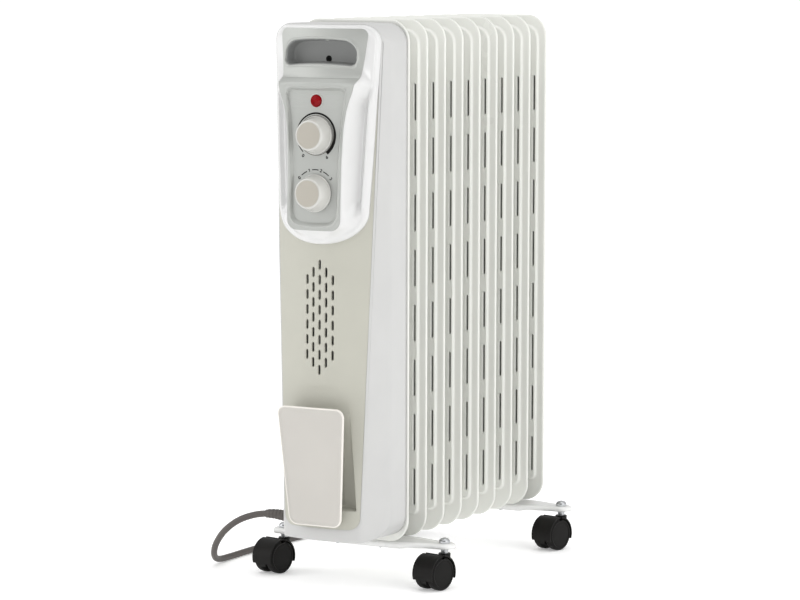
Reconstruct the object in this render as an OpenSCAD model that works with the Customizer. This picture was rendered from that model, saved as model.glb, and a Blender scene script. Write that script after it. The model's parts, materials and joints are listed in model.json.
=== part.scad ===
// Oil filled radiator heater on four twin-wheel castors, with a control casing at its front end.
// Front is -Y, right is +X, up is +Z. The origin is on the floor, midway between the castor stems.

/* [Radiator] */
// Number of pressed steel fins
fin_count = 9; // [5:1:11]
// Spacing from one fin to the next
fin_pitch = 40; // [36:1:48]
// Width of a fin from side to side
fin_w = 134; // [124:1:160]
// Height of a fin
fin_h = 558; // [520:1:640]
// Corner radius of a fin
fin_r = 24; // [12:1:30]
// Thickness of the seamed rim of a fin
fin_rim_t = 3; // [2:0.5:4]
// Thickness of the embossed middle field of a fin
fin_emboss_t = 7; // [5:0.5:9]
// Width of the flat rim around the embossed field
fin_rim_w = 8; // [6:0.5:12]
// Height of the lowest point of the fins above the floor
fin_floor_gap = 48; // [46:1:70]

/* [Air slots] */
// Length of one air slot
slot_length = 40; // [20:1:46]
// Width of one air slot
slot_w = 2.6; // [2:0.2:4]
// Spacing of the slots in a column
slot_pitch = 59.3; // [50:0.1:80]
// Distance from the fin edge to the outer column of slots
slot_inset = 13.8; // [13:0.2:18]
// Distance from the outer column to the inner, staggered column
slot_column_gap = 9; // [7:0.5:12]
// Distance from the top of the fin to the first slot
slot_top_margin = 68.5; // [50:0.5:90]

/* [Oil passages] */
// Outer radius of the two oil tubes pressed into each fin
oil_tube_r = 9; // [8:0.5:12]
// Wall of the pressed steel around the oil
oil_wall = 1.5; // [1:0.1:2.5]
// Distance of each oil tube from the middle of the fin
oil_tube_x = 21; // [20:1:26]
// Outer radius of the header bosses and of the rings between them
header_r = 24; // [21:1:28]
// Bore radius of the header
header_bore_r = 17; // [15:0.5:19]
// Thickness of a header boss on a fin
boss_t = 22; // [20:1:26]
// Distance of each header from the end of the fin
header_inset = 46; // [44:1:60]

/* [Heating element] */
// Outer radius of the sheathed element
element_r = 4; // [3:0.5:5]
// Distance between the two legs of the element
element_leg_gap = 14; // [12:1:18]
// Length of the element inside the header
element_length = 300; // [120:5:340]
// Radius of the flange that seals the element into the header
flange_r = 22; // [20:0.5:23]

/* [Control casing] */
// Depth of the straight side walls of the casing
case_side_depth = 34.5; // [30:0.5:45]
// Distance that the front bows out past the back of the casing at the bottom
bow_bottom = 73; // [66:0.5:82]
// The same at the waist of the front
bow_waist = 70.5; // [64:0.5:78]
// The same at the top
bow_top = 63.5; // [56:0.5:68]
// Half width of the front face at the bottom
front_half_bottom = 46.5; // [44:0.5:52]
// Half width of the front face at the waist
front_half_waist = 57.3; // [54:0.5:60]
// Half width of the front face at the top
front_half_top = 64.5; // [60:0.5:65.5]
// Height of the waist above the bottom of the casing
waist_height = 304; // [260:1:330]
// Wall of the casing and of the front panel
case_wall = 2.5; // [2:0.1:3.5]
// Corner radius of the casing
case_r = 22; // [14:1:28]
// How much narrower each side of the casing is than the fins
case_inset = 1; // [0.5:0.5:3]

/* [Handle pocket] */
// Half width of the finger pocket
pocket_half_w = 44; // [38:0.5:50]
// Height of the finger pocket
pocket_h = 30; // [26:1:36]
// Depth of the back wall of the pocket behind the front of the casing
pocket_depth = 20; // [14:0.5:26]
// Distance of the middle of the pocket below the top of the casing
pocket_drop = 31.5; // [28:0.5:36]
// Wall of the pocket
pocket_wall = 1.8; // [1.2:0.1:2.5]

/* [Control panel] */
// How far the control panel stands proud of the casing
panel_proud = 5; // [4:0.5:7]
// Height of the control panel
panel_h = 225; // [215:1:240]
// How much narrower than the casing front the control panel is on each side at its lower end
panel_taper = 5; // [3:0.5:7]
// Distance of the middle of the dial plate below the top of the casing
dial_drop = 145.5; // [142:0.5:150]
// How far the dial plate stands in front of the casing front
dial_proud = 10.5; // [9:0.5:13]
// Half width of the rim around the dial plate
dial_rim_half_w = 37.5; // [36:0.5:42]
// Height of the rim around the dial plate
dial_rim_h = 151; // [146:1:154]
// How far the middle of the rim lies above the middle of the dial plate
dial_rim_rise = 6; // [4:0.5:8]
// Width of the rim around the dial plate
dial_rim_w = 4; // [3:0.5:6]
// How far the rim stands above the dial plate
dial_rim_step = 2.5; // [1.5:0.5:4]
// Angle that the dial plate leans back
dial_tilt = 2; // [0:0.5:4]

/* [Knobs] */
// Radius of a knob at its base
knob_base_r = 20; // [17:0.5:21]
// Radius of a knob at its face
knob_face_r = 14; // [11:0.5:16]
// Height of a knob
knob_h = 16; // [12:0.5:20]
// Gap between a knob and the dial plate
knob_gap = 0.5; // [0.3:0.1:1]
// Distance of the thermostat knob above the middle of the dial plate
thermostat_rise = 29; // [26:0.5:32]
// Distance of the selector knob below the middle of the dial plate
selector_fall = 31.6; // [28:0.2:34]
// Distance of the pilot lamp above the middle of the dial plate
lamp_rise = 65; // [62:0.5:68]
// Radius of the pilot lamp lens
lamp_r = 6.5; // [5:0.5:8]
// Radius of the spindles that carry the knobs
spindle_r = 3; // [2.5:0.25:4]
// Clearance around a turning spindle, axle or stem
running_gap = 0.05; // [0.02:0.01:0.09]

/* [Vent slots] */
// Number of vent slots in the middle column
vent_rows = 8; // [4:1:9]
// Spacing of the vent slots in a column
vent_pitch = 15.9; // [14:0.1:18]
// Spacing of the columns of vent slots
vent_column_pitch = 7.7; // [6:0.1:10]
// Length of one vent slot
vent_length = 10.5; // [6:0.5:12]
// Width of one vent slot
vent_w = 3; // [2:0.2:4]
// Height of the middle of the vents above the bottom of the casing
vent_height = 238; // [232:1:244]

/* [Cord wrap] */
// Height of the floor of the cord recess above the bottom of the casing
recess_floor = 35; // [30:1:40]
// Height of the top of the cord recess above the bottom of the casing
recess_top = 161; // [150:1:168]
// Depth of the cord recess at its floor
recess_depth = 26; // [18:1:32]
// Half width of the cord recess at the front
recess_half_w = 44; // [42:0.5:44.5]
// Half width of the paddle at its top
paddle_half_top = 40.7; // [36:0.1:44]
// Half width of the paddle at its bottom
paddle_half_bottom = 31.4; // [28:0.1:36]
// Height of the lower edge of the paddle above the bottom of the casing
paddle_bottom = 17; // [14:0.5:22]
// Length of the paddle
paddle_length = 128; // [110:1:134]
// Thickness of the paddle
paddle_t = 3; // [2.5:0.5:5]
// Gap between the lower end of the paddle and the front of the casing
paddle_gap = 4; // [3:0.5:8]
// Angle that the paddle leans forward
paddle_tilt = 4.6; // [2:0.2:6]

/* [Feet] */
// Distance of each castor stem from the middle
stem_x = 100; // [92:1:110]
// Radius of the rounded end of a foot bar
bar_end_r = 12; // [10:0.5:14]
// Half width of the wide middle of a foot bar
bar_mid_half = 22; // [20:0.5:24]
// Thickness of the foot bar metal
bar_t = 2; // [1.5:0.1:3]
// Depth of the foot bar skirt in the middle
bar_skirt = 12; // [8:0.5:14]
// Depth of the foot bar skirt at its ends
bar_end_skirt = 6; // [4:0.5:7]
// Radius of the rod of the foot clamps
clamp_rod_r = 2.5; // [2:0.25:3]

/* [Castors] */
// Radius of a castor wheel
wheel_r = 18; // [15:0.5:19]
// Width of one castor wheel
wheel_w = 9.5; // [7:0.5:10]
// Width of the web between the two wheels of a castor
web_w = 7; // [6:0.5:9]
// Gap between a wheel and the parts beside it
wheel_gap = 0.5; // [0.4:0.1:1]
// Wall of the castor hood
hood_wall = 1.6; // [1.2:0.1:2.2]
// Distance of the wheel axle behind the stem
castor_trail = 17; // [15:0.5:19]
// Radius of a castor stem
stem_r = 4; // [3:0.25:4.5]
// Radius of a castor axle
axle_r = 2.5; // [2:0.25:3.5]
// Heading of the castors at rest
castor_heading = -12; // [-45:1:45]

/* [Supply cord] */
// Radius of the supply cord
cord_r = 3.5; // [3:0.1:4]
// Middle radius of the coiled part of the cord
coil_mid_r = 38; // [36:1:39]
// Radius of the plug body
plug_r = 17; // [15:0.5:17.5]

/* [Hidden] */
$fn = 64;
eps = 0.01;
block_x = -35;
block_w = 22;
block_d = 16;
block_h = 36;
wire_r = 1.5;
fit_gap = 0.2;
seat_gap = 0.3;
fin_y0 = -(fin_count - 1) / 2 * fin_pitch;
fin_top = fin_floor_gap + fin_h;
slot_count = floor((fin_h - slot_top_margin - fin_rim_w) / slot_pitch);
header_low_z = fin_floor_gap + header_inset;
header_high_z = fin_top - header_inset;
foot_y = (fin_count - 2) / 2 * fin_pitch;
case_back = fin_y0 - fin_emboss_t / 2;
case_half = fin_w / 2 - case_inset;
case_bottom_rise = 8;
case_top_drop = 3.5;
case_bottom = fin_floor_gap + case_bottom_rise;
case_top = fin_top - case_top_drop;
block_z = case_bottom + 60;
waist_z = case_bottom + waist_height;
sag_bottom = 8.5;
sag_waist = 13.2;
sag_top = 14;
front_clear = 80;
arc_steps = 12;
window_bottom = case_bottom + 14;
window_top = case_top - 12;
window_inset = 1.5;
window_r = 12;
panel_top = case_top - 5.5;
panel_bottom = panel_top - panel_h;
panel_scoop_drop = 20;
panel_r = 20;
pocket_z = case_top - pocket_drop;
pocket_r = 14;
dial_z = case_top - dial_drop;
dial_floor_y = front_y(0, dial_z) - dial_proud;
dial_plate_t = 1.5;
dial_r = 12;
body_depth = 22;
switch_h = 34;
body_front = dial_proud + case_wall + 1.5;
bracket_t = 1.5;
spindle_in = body_front + 12;
spindle_out = knob_h - 4;
shield_y = case_back - boss_t / 2 + fin_emboss_t / 2 - 1.5;
shield_t = 1.2;
recess_back_half = 36;
recess_lip = 2;
stalk_half_w = 17;
stalk_h = 34;
stalk_z = case_bottom + 92;
paddle_r = 8;
paddle_y = front_y(0, case_bottom + paddle_bottom) - paddle_gap;
bar_top = fin_floor_gap;
bar_neck_x = 88;
bar_mid_x = 58;
stem_top = bar_top + 5;
nut_r = 6;
hood_r = wheel_r + wheel_gap + hood_wall;
castor_half_w = web_w / 2 + wheel_gap + wheel_w;
collar_top = bar_top - bar_end_skirt - seat_gap;
stem_bottom = wheel_r + 3;
clamp_leg_x = header_r + clamp_rod_r + seat_gap;
gland_y = -184;
gland_z = 69.5;
cord_start_x = -74;
coil_x = -205;
coil_y = 190;
coil_z0 = 1.8;
coil_h = 15;
coil_w = 22;
plug_z = plug_r + 0.4;
plug_x = -158;
plug_y0 = 238;
plug_body_len = 36;
pin_r = 2.4;
pin_gap = 19;
pin_len = 19;
cord_side_count = 10;
// Points that the loose part of the cord passes through, from the gland to the coil
cord_route = [[-74, -184, 69.5], [-90, -186, 70.5], [-110, -188, 67.5], [-130, -189, 59.5],
    [-149, -186, 46], [-165, -178, 29], [-176, -164, 14], [-183, -144, 5.5], [-186, -115, 3.6],
    [-187, -80, 3.6], [-187, -40, 3.6], [-186, 0, 3.6], [-183, 40, 3.6], [-178, 80, 3.8],
    [-170, 120, 5], [-160, 162, 7]];
// Points of the short tail between the coil and the plug
tail_route = [[-158, 214, 10], [-158, 221, 13.8], [-158, 227, 16.4], [-158, 232, 17.4], [-158, 237.9, 17.4]];

fin_names = [for (i = [1:fin_count]) str("fin_", i)];
corner_names = ["front_left", "front_right", "rear_left", "rear_right"];
side_names = ["inner", "outer"];

// ---- helpers ----

function lerp(a, b, t) = a + (b - a) * t;

// A value that runs straight from the bottom of the casing to its waist and on to its top
function along(z, low, mid, high) = z < waist_z
    ? lerp(low, mid, (z - case_bottom) / (waist_z - case_bottom))
    : lerp(mid, high, (z - waist_z) / (case_top - waist_z));

function front_half(z) = along(z, front_half_bottom, front_half_waist, front_half_top);
function front_bow(z) = along(z, bow_bottom, bow_waist, bow_top);
function front_sag(z) = along(z, sag_bottom, sag_waist, sag_top);

// Radius of the arc with a given half chord and rise
function arc_r(half, sag) = (half * half + sag * sag) / (2 * sag);

// Drop of that arc at a distance x from its middle
function arc_drop(x, half, sag) = arc_r(half, sag) - sqrt(pow(arc_r(half, sag), 2) - x * x);

// Y of the casing's front surface at a place on it
function front_y(x, z) = case_back - front_bow(z) + arc_drop(x, front_half(z), front_sag(z));

// A rectangle centred on the origin with rounded corners
module round_rect(w, h, r) {
    square([w - 2 * r, h], center = true);
    square([w, h - 2 * r], center = true);
    for (x = [-1, 1], y = [-1, 1])
        translate([x * (w / 2 - r), y * (h / 2 - r)]) circle(r);
}

// Stands a flat outline up in the XZ plane, thickened from y0 forward to y1
module upright(y0, y1) {
    translate([0, y0, 0]) rotate([90, 0, 0]) linear_extrude(y0 - y1) children();
}

// Places children on the dial plate: X across, Y up the plate, Z out towards the user
module on_dial() {
    translate([0, dial_floor_y, dial_z]) rotate([90 - dial_tilt, 0, 0]) children();
}

// ---- radiator ----

module fin_face(w, h, r) {
    translate([0, fin_floor_gap + fin_h / 2]) round_rect(w, h, r);
}

module slot_column(x, count, first) {
    for (k = [0:count - 1])
        translate([x - slot_w / 2, fin_top - first - k * slot_pitch - slot_length])
            square([slot_w, slot_length]);
}

module slots() {
    for (side = [-1, 1]) {
        slot_column(side * (fin_w / 2 - slot_inset), slot_count, slot_top_margin);
        slot_column(side * (fin_w / 2 - slot_inset - slot_column_gap), slot_count - 1,
            slot_top_margin + slot_pitch / 2);
    }
}

module oil_space() {
    for (z = [header_low_z, header_high_z])
        translate([0, boss_t / 2 + 1, z]) rotate([90, 0, 0]) cylinder(r = header_bore_r, h = boss_t + 2);
    for (x = [-oil_tube_x, oil_tube_x])
        translate([x, 0, header_low_z])
            cylinder(r = oil_tube_r - oil_wall, h = header_high_z - header_low_z);
}

module fin(i) {
    color([0.93, 0.93, 0.91]) translate([0, fin_y0 + (i - 1) * fin_pitch, 0]) difference() {
        union() {
            upright(fin_rim_t / 2, -fin_rim_t / 2) difference() {
                fin_face(fin_w, fin_h, fin_r);
                slots();
            }
            upright(fin_emboss_t / 2, -fin_emboss_t / 2) difference() {
                fin_face(fin_w - 2 * fin_rim_w, fin_h - 2 * fin_rim_w, fin_r - fin_rim_w / 2);
                slots();
            }
            for (x = [-oil_tube_x, oil_tube_x])
                translate([x, 0, header_low_z])
                    cylinder(r = oil_tube_r, h = header_high_z - header_low_z);
            for (z = [header_low_z, header_high_z])
                translate([0, boss_t / 2, z]) rotate([90, 0, 0]) cylinder(r = header_r, h = boss_t);
        }
        oil_space();
    }
}

module header_rings(z) {
    for (i = [1:fin_count - 1])
        translate([0, fin_y0 + i * fin_pitch - boss_t / 2, z]) rotate([90, 0, 0]) difference() {
            cylinder(r = header_r - 1, h = fin_pitch - boss_t);
            translate([0, 0, -1]) cylinder(r = header_bore_r, h = fin_pitch - boss_t + 2);
        }
}

module upper_header() {
    color([0.9, 0.9, 0.88]) header_rings(header_high_z);
}

module lower_header() {
    color([0.9, 0.9, 0.88]) header_rings(header_low_z);
}

// A steel cap with a spigot in the end of a header, facing -Y
module header_plug() {
    rotate([90, 0, 0]) cylinder(r = header_r - 3, h = 2.5);
    rotate([-90, 0, 0]) cylinder(r = header_bore_r - running_gap, h = 6);
}

module header_plugs() {
    color([0.7, 0.7, 0.68]) {
        translate([0, fin_y0 - boss_t / 2, header_high_z]) header_plug();
        for (z = [header_low_z, header_high_z])
            translate([0, -fin_y0 + boss_t / 2, z]) mirror([0, 1, 0]) header_plug();
    }
}

module element_flange() {
    color([0.72, 0.6, 0.35]) translate([0, fin_y0 - boss_t / 2, header_low_z]) difference() {
        union() {
            rotate([90, 0, 0]) cylinder(r = flange_r, h = 5);
            rotate([-90, 0, 0]) cylinder(r = header_bore_r - running_gap, h = 8);
        }
        for (x = [-1, 1])
            translate([x * element_leg_gap / 2, 10, 0]) rotate([90, 0, 0])
                cylinder(r = element_r, h = 20);
    }
}

module heating_element() {
    leg_y = fin_y0 - boss_t / 2 - 5;
    bend_y = leg_y + element_length;
    color([0.45, 0.45, 0.46]) {
        for (x = [-1, 1]) {
            translate([x * element_leg_gap / 2, leg_y, header_low_z]) rotate([-90, 0, 0])
                cylinder(r = element_r, h = element_length);
            translate([x * element_leg_gap / 2, leg_y, header_low_z]) rotate([90, 0, 0])
                cylinder(r = element_r / 2, h = 8);
        }
        translate([0, bend_y, header_low_z]) rotate_extrude(angle = 180)
            translate([element_leg_gap / 2, 0]) circle(element_r);
    }
}

// ---- control casing ----

// Plan of the casing at one height, shrunk by an inset; its last points face the radiator
function casing_plan(z, half, bow, sag, inset, back) =
    let (w = case_half - inset, b = min(half - 0.7 * inset, w - 0.2), side = 0.3 * inset - case_side_depth)
    concat([[-w, case_back + back, z], [-w, case_back + side, z]],
        [for (i = [0:arc_steps]) let (x = lerp(-b, b, i / arc_steps))
            [x, case_back - bow + inset + arc_drop(x, b, sag), z]],
        [[w, case_back + side, z], [w, case_back + back, z]]);

// The casing before its corners are rounded: three plans at different heights, skinned
module casing_loft(inset, back) {
    m = arc_steps + 5;
    polyhedron(concat(
        casing_plan(case_bottom, front_half_bottom, bow_bottom, sag_bottom, inset, back),
        casing_plan(waist_z, front_half_waist, bow_waist, sag_waist, inset, back),
        casing_plan(case_top, front_half_top, bow_top, sag_top, inset, back)),
        concat([[for (i = [0:m - 1]) i]], [[for (i = [0:m - 1]) 3 * m - 1 - i]],
        [for (k = [0, m], i = [0:m - 1]) [k + i, k + m + i, k + m + (i + 1) % m]],
        [for (k = [0, m], i = [0:m - 1]) [k + i, k + m + (i + 1) % m, k + (i + 1) % m]]));
}

// The casing's outer form, shrunk by an inset
module casing_form(inset, back = 0) {
    intersection() {
        casing_loft(inset, back);
        upright(case_back + back + 1, case_back - front_clear - 10)
            translate([0, (case_bottom + case_top) / 2])
                round_rect(2 * (case_half - inset), case_top - case_bottom - 2 * inset, case_r - inset);
    }
}

// Outline of the opening in the casing's front that the front panel fills
module window_outline(gap) {
    r = window_r - gap;
    z0 = window_bottom + gap;
    b0 = front_half(window_bottom) - window_inset - gap;
    b1 = front_half(window_top) - window_inset - gap;
    polygon([[-b0, z0 + r], [-b0 + r, z0], [b0 - r, z0], [b0, z0 + r], [b1, window_top - gap],
        [-b1, window_top - gap]]);
}

module gland_bore(r) {
    translate([-case_half - 1, gland_y, gland_z]) rotate([0, 90, 0])
        translate([0, 0, -10]) cylinder(r = r, h = 30);
}

module control_casing() {
    color([0.95, 0.95, 0.94]) difference() {
        casing_form(0);
        casing_form(case_wall, 1);
        upright(case_back - case_side_depth - 4, case_back - front_clear - 10) window_outline(0);
        gland_bore(6);
    }
}

// The space of the cord recess, from a sloping back wall out past the front
module recess_space(grow) {
    z0 = case_bottom + recess_floor - grow;
    z1 = case_bottom + recess_top + grow;
    back_y = front_y(0, z0) + recess_depth + grow;
    lip_y = front_y(0, z1) + recess_lip + grow;
    out_y = case_back - front_clear - 5;
    hull() {
        for (row = [[recess_back_half, back_y - eps, z0], [recess_back_half, lip_y - eps, z1],
            [recess_half_w, out_y, z0], [recess_half_w, out_y, z1]])
            translate([-row[0] - grow, row[1], row[2]]) cube([2 * (row[0] + grow), eps, eps]);
    }
}

module vents() {
    mid_z = case_bottom + vent_height;
    for (c = [-2:2]) {
        rows = vent_rows - abs(c);
        for (k = [0:rows - 1])
            translate([c * vent_column_pitch - vent_w / 2,
                mid_z + (k - (rows - 1) / 2) * vent_pitch - vent_length / 2])
                square([vent_w, vent_length]);
    }
}

module pocket_outline(grow) {
    translate([0, pocket_z]) round_rect(2 * (pocket_half_w + grow), pocket_h + 2 * grow, pocket_r + grow);
}

// Holes for the two spindles and the lamp, in the dial plate's frame
module dial_holes(spindle_hole, lamp_hole, z0, z1) {
    for (y = [thermostat_rise, -selector_fall])
        translate([0, y, z0]) cylinder(r = spindle_hole, h = z1 - z0);
    translate([0, lamp_rise, z0]) cylinder(r = lamp_hole, h = z1 - z0);
}

module front_panel() {
    color([0.8, 0.79, 0.75]) difference() {
        union() {
            intersection() {
                difference() {
                    casing_form(0);
                    casing_form(case_wall, 1);
                }
                upright(case_back - case_side_depth - 4 - fit_gap, case_back - front_clear - 10)
                    window_outline(fit_gap);
            }
            intersection() {
                casing_form(0);
                recess_space(case_wall);
            }
        }
        recess_space(0);
        upright(case_back - 20, case_back - front_clear - 10) vents();
        upright(case_back - 20, case_back - front_clear - 10) pocket_outline(pocket_wall + fit_gap);
        on_dial() dial_holes(spindle_r + 2.5, lamp_r + 0.5, -40, 0);
    }
}

// Outline of the control panel: straight tapering sides and a bowed lower edge
module panel_outline() {
    n = 16;
    z_side = panel_bottom + panel_scoop_drop;
    b0 = front_half(z_side) - panel_taper;
    b1 = front_half(panel_top) - 0.5;
    bow = [for (i = [0:n]) let (a = 180 + 180 * i / n)
        [b0 * cos(a), z_side + panel_scoop_drop * sin(a)]];
    polygon(concat(bow, [[b1, panel_top - panel_r], [b1 - 6, panel_top - 6], [b1 - panel_r, panel_top],
        [-b1 + panel_r, panel_top], [-b1 + 6, panel_top - 6], [-b1, panel_top - panel_r]]));
}

module control_panel() {
    color([0.94, 0.94, 0.93]) difference() {
        union() {
            intersection() {
                casing_form(-panel_proud, 0);
                upright(case_back - case_side_depth - 8, case_back - front_clear - 10) panel_outline();
            }
            on_dial() translate([0, 0, -dial_proud]) linear_extrude(dial_proud + dial_rim_step)
                translate([0, dial_rim_rise]) round_rect(2 * dial_rim_half_w, dial_rim_h, dial_r);
        }
        casing_form(0);
        on_dial() translate([0, 0, -dial_plate_t]) linear_extrude(20)
            translate([0, dial_rim_rise]) round_rect(2 * (dial_rim_half_w - dial_rim_w),
                dial_rim_h - 2 * dial_rim_w, dial_r - dial_rim_w / 2);
        on_dial() dial_holes(spindle_r + 1.5, lamp_r - 0.4, -40, 0);
        upright(case_back - 20, case_back - front_clear - 10) pocket_outline(pocket_wall + fit_gap);
    }
}

module handle_pocket() {
    back_y = front_y(0, pocket_z) + pocket_depth - panel_proud;
    color([0.62, 0.64, 0.63]) difference() {
        intersection() {
            upright(back_y + pocket_wall, case_back - front_clear) pocket_outline(pocket_wall);
            casing_form(-panel_proud);
        }
        upright(back_y, case_back - front_clear - 1) pocket_outline(0);
        translate([0, back_y + 10, pocket_z - 5]) rotate([90, 0, 0]) cylinder(r = 3, h = 20);
    }
}

module dial_plate() {
    gap = dial_rim_w + fit_gap;
    color([0.8, 0.82, 0.81]) on_dial() difference() {
        translate([0, 0, -dial_plate_t]) linear_extrude(dial_plate_t)
            translate([0, dial_rim_rise]) round_rect(2 * (dial_rim_half_w - gap), dial_rim_h - 2 * gap,
                dial_r - dial_rim_w / 2 - fit_gap);
        dial_holes(spindle_r + 0.5, lamp_r - 0.4, -5, 5);
    }
}

module pilot_lamp_lens() {
    dome_h = 2.5;
    dome_r = arc_r(lamp_r, dome_h);
    color([0.75, 0.05, 0.05]) on_dial() translate([0, lamp_rise, 0]) {
        translate([0, 0, -3]) cylinder(r = lamp_r - 0.6, h = 3);
        cylinder(r = lamp_r, h = 0.8);
        intersection() {
            translate([0, 0, 0.8]) cylinder(r = lamp_r, h = 5);
            translate([0, 0, 0.8 + dome_h - dome_r]) sphere(dome_r);
        }
    }
}

module pilot_lamp_body() {
    color([0.85, 0.83, 0.78]) on_dial() translate([0, lamp_rise, -22]) cylinder(r = lamp_r - 0.8, h = 19);
}

module knob() {
    edge = 2;
    difference() {
        translate([0, 0, knob_gap]) rotate_extrude() polygon([[0, 0], [knob_base_r, 0],
            [knob_base_r, 2], [knob_base_r - 0.8, 3], [knob_face_r + edge, knob_h - edge - 0.5],
            [knob_face_r + 0.6, knob_h - 0.5], [knob_face_r, knob_h], [0, knob_h]]);
        translate([0, 0, -1]) cylinder(r = spindle_r + running_gap / 2, h = 1 + spindle_out);
    }
}

module thermostat_knob() {
    color([0.95, 0.95, 0.93]) on_dial() translate([0, thermostat_rise, 0]) knob();
}

module selector_knob() {
    color([0.95, 0.95, 0.93]) on_dial() translate([0, -selector_fall, 0]) knob();
}

module spindle() {
    translate([0, 0, -spindle_in]) cylinder(r = spindle_r, h = spindle_in + spindle_out - fit_gap);
}

module thermostat_spindle() {
    color([0.75, 0.75, 0.75]) on_dial() translate([0, thermostat_rise, 0]) spindle();
}

module selector_spindle() {
    color([0.8, 0.78, 0.7]) on_dial() translate([0, -selector_fall, 0]) spindle();
}

// A switch or thermostat housing with a bore for its spindle
module switch_housing(w, h) {
    difference() {
        translate([-w / 2, -h / 2, -body_front - body_depth]) cube([w, h, body_depth]);
        translate([0, 0, -spindle_in - 1]) cylinder(r = spindle_r + running_gap, h = spindle_in + 1);
    }
}

module thermostat_body() {
    color([0.35, 0.33, 0.3]) on_dial() translate([0, thermostat_rise, 0]) switch_housing(38, 30);
}

module selector_switch_body() {
    color([0.88, 0.86, 0.8]) on_dial() translate([0, -selector_fall, 0]) switch_housing(34, switch_h);
}

// A folded steel strap behind the two housings, standing on the back of the front panel
module control_bracket() {
    strap_h = 2 * max(thermostat_rise, selector_fall) + 50;
    back = -body_front - body_depth;
    leg_x = 24;
    color([0.75, 0.76, 0.76]) on_dial() difference() {
        union() {
            translate([-leg_x, -strap_h / 2, back - bracket_t]) cube([2 * leg_x, strap_h, bracket_t]);
            for (x = [-leg_x, leg_x - bracket_t])
                translate([x, -strap_h / 2, back])
                    cube([bracket_t, strap_h, -back - dial_proud - case_wall - 4.5]);
        }
        for (y = [thermostat_rise, -selector_fall])
            translate([0, y, back - 10]) cylinder(r = 6, h = 20);
    }
}

module heat_shield() {
    color([0.78, 0.79, 0.8]) difference() {
        intersection() {
            casing_form(case_wall + fit_gap, 1);
            upright(shield_y, shield_y - shield_t)
                translate([0, (case_bottom + case_top) / 2]) square([3 * fin_w, 2 * fin_h], center = true);
        }
        for (z = [header_low_z, header_high_z])
            translate([0, shield_y + 5, z]) rotate([90, 0, 0]) cylinder(r = header_r + 1, h = 20);
    }
}

module thermal_cutout() {
    color([0.3, 0.3, 0.3]) translate([0, shield_y - shield_t, header_low_z + 70]) rotate([90, 0, 0]) {
        cylinder(r = 9, h = 6);
        translate([0, 0, 6]) cylinder(r = 6, h = 4);
    }
}

module terminal_block() {
    color([0.9, 0.88, 0.82]) difference() {
        translate([block_x - block_w / 2, shield_y - shield_t - block_d, block_z])
            cube([block_w, block_d, block_h]);
        for (k = [0:2])
            translate([block_x - block_w, shield_y - shield_t - 0.7 * block_d,
                block_z + (0.22 + 0.28 * k) * block_h])
                rotate([0, 90, 0]) cylinder(r = block_d / 8, h = block_w);
    }
}

// Wires from the top of the terminal block to the underside of the switch, and to the element
module wiring_harness() {
    y0 = shield_y - shield_t - block_d / 2;
    z_tb = block_z + block_h + seat_gap;
    z_sw = dial_z - selector_fall - switch_h / 2 - (body_front + body_depth) * sin(dial_tilt);
    left = block_x - block_w / 5;
    right = block_x + block_w / 6;
    color([0.25, 0.35, 0.6])
        tube(smooth([[left, y0, z_tb], [left, y0, z_sw - 40], [left + 16, y0 - 10, z_sw - 22],
            [-8, y0 - 32, z_sw - 14], [-8, y0 - 32, z_sw - 7], [-8, y0 - 32, z_sw - seat_gap]], 3),
            wire_r, 8);
    color([0.5, 0.3, 0.2])
        tube(smooth([[right, y0, z_tb], [right, y0, z_sw - 46], [right + 18, y0 - 10, z_sw - 22],
            [2, y0 - 32, z_sw - 14], [2, y0 - 32, z_sw - 7], [2, y0 - 32, z_sw - seat_gap]], 3),
            wire_r, 8);
    color([0.3, 0.5, 0.2])
        tube([[block_x + block_w / 2 + seat_gap, y0, z_tb - 8], [-18, y0, z_tb - 8],
            [-10, y0, z_tb - 14], [-8, y0, header_low_z + 30],
            [-element_leg_gap / 2, y0, header_low_z + 2 * element_r]], wire_r, 8);
}

module paddle_outline() {
    r = paddle_r;
    b0 = paddle_half_bottom;
    b1 = paddle_half_top;
    l = paddle_length;
    polygon([[-b0 + r, 0], [b0 - r, 0], [b0 - r * 0.29, r * 0.29], [b0, r], [b1, l - r],
        [b1 - r * 0.29, l - r * 0.29], [b1 - r, l], [-b1 + r, l], [-b1 + r * 0.29, l - r * 0.29],
        [-b1, l - r], [-b0, r], [-b0 + r * 0.29, r * 0.29]]);
}

// Places children at the lower edge of the paddle: Y along the paddle, Z out towards the user
module on_paddle() {
    translate([0, paddle_y, case_bottom + paddle_bottom]) rotate([90 + paddle_tilt, 0, 0]) children();
}

module cord_wrap() {
    color([0.9, 0.88, 0.85]) {
        on_paddle() linear_extrude(paddle_t) paddle_outline();
        intersection() {
            translate([0, -seat_gap / 6, 0]) recess_space(0);
            on_paddle() translate([0, 0, -front_clear]) linear_extrude(front_clear + paddle_t / 2)
                translate([0, stalk_z - case_bottom - paddle_bottom])
                    round_rect(2 * stalk_half_w, stalk_h, 8);
        }
    }
}

// Screws that hold the cord wrap and the pocket from inside the casing
module casing_screws() {
    pocket_back = front_y(0, pocket_z) + pocket_depth - panel_proud + pocket_wall;
    color([0.3, 0.3, 0.3])
        translate([0, pocket_back, pocket_z - 5]) rotate([-90, 0, 0]) {
            cylinder(r = 5, h = 2);
            cylinder(r = 2, h = 10);
        }
    wrap_z = stalk_z;
    slope_y = lerp(front_y(0, case_bottom + recess_floor) + recess_depth,
        front_y(0, case_bottom + recess_top) + recess_lip,
        (wrap_z - case_bottom - recess_floor) / (recess_top - recess_floor));
    color([0.3, 0.3, 0.3]) for (x = [-10, 10])
        translate([x, slope_y + case_wall + 0.9, wrap_z]) rotate([-90, 0, 0]) cylinder(r = 3.5, h = 2.5);
}

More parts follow.
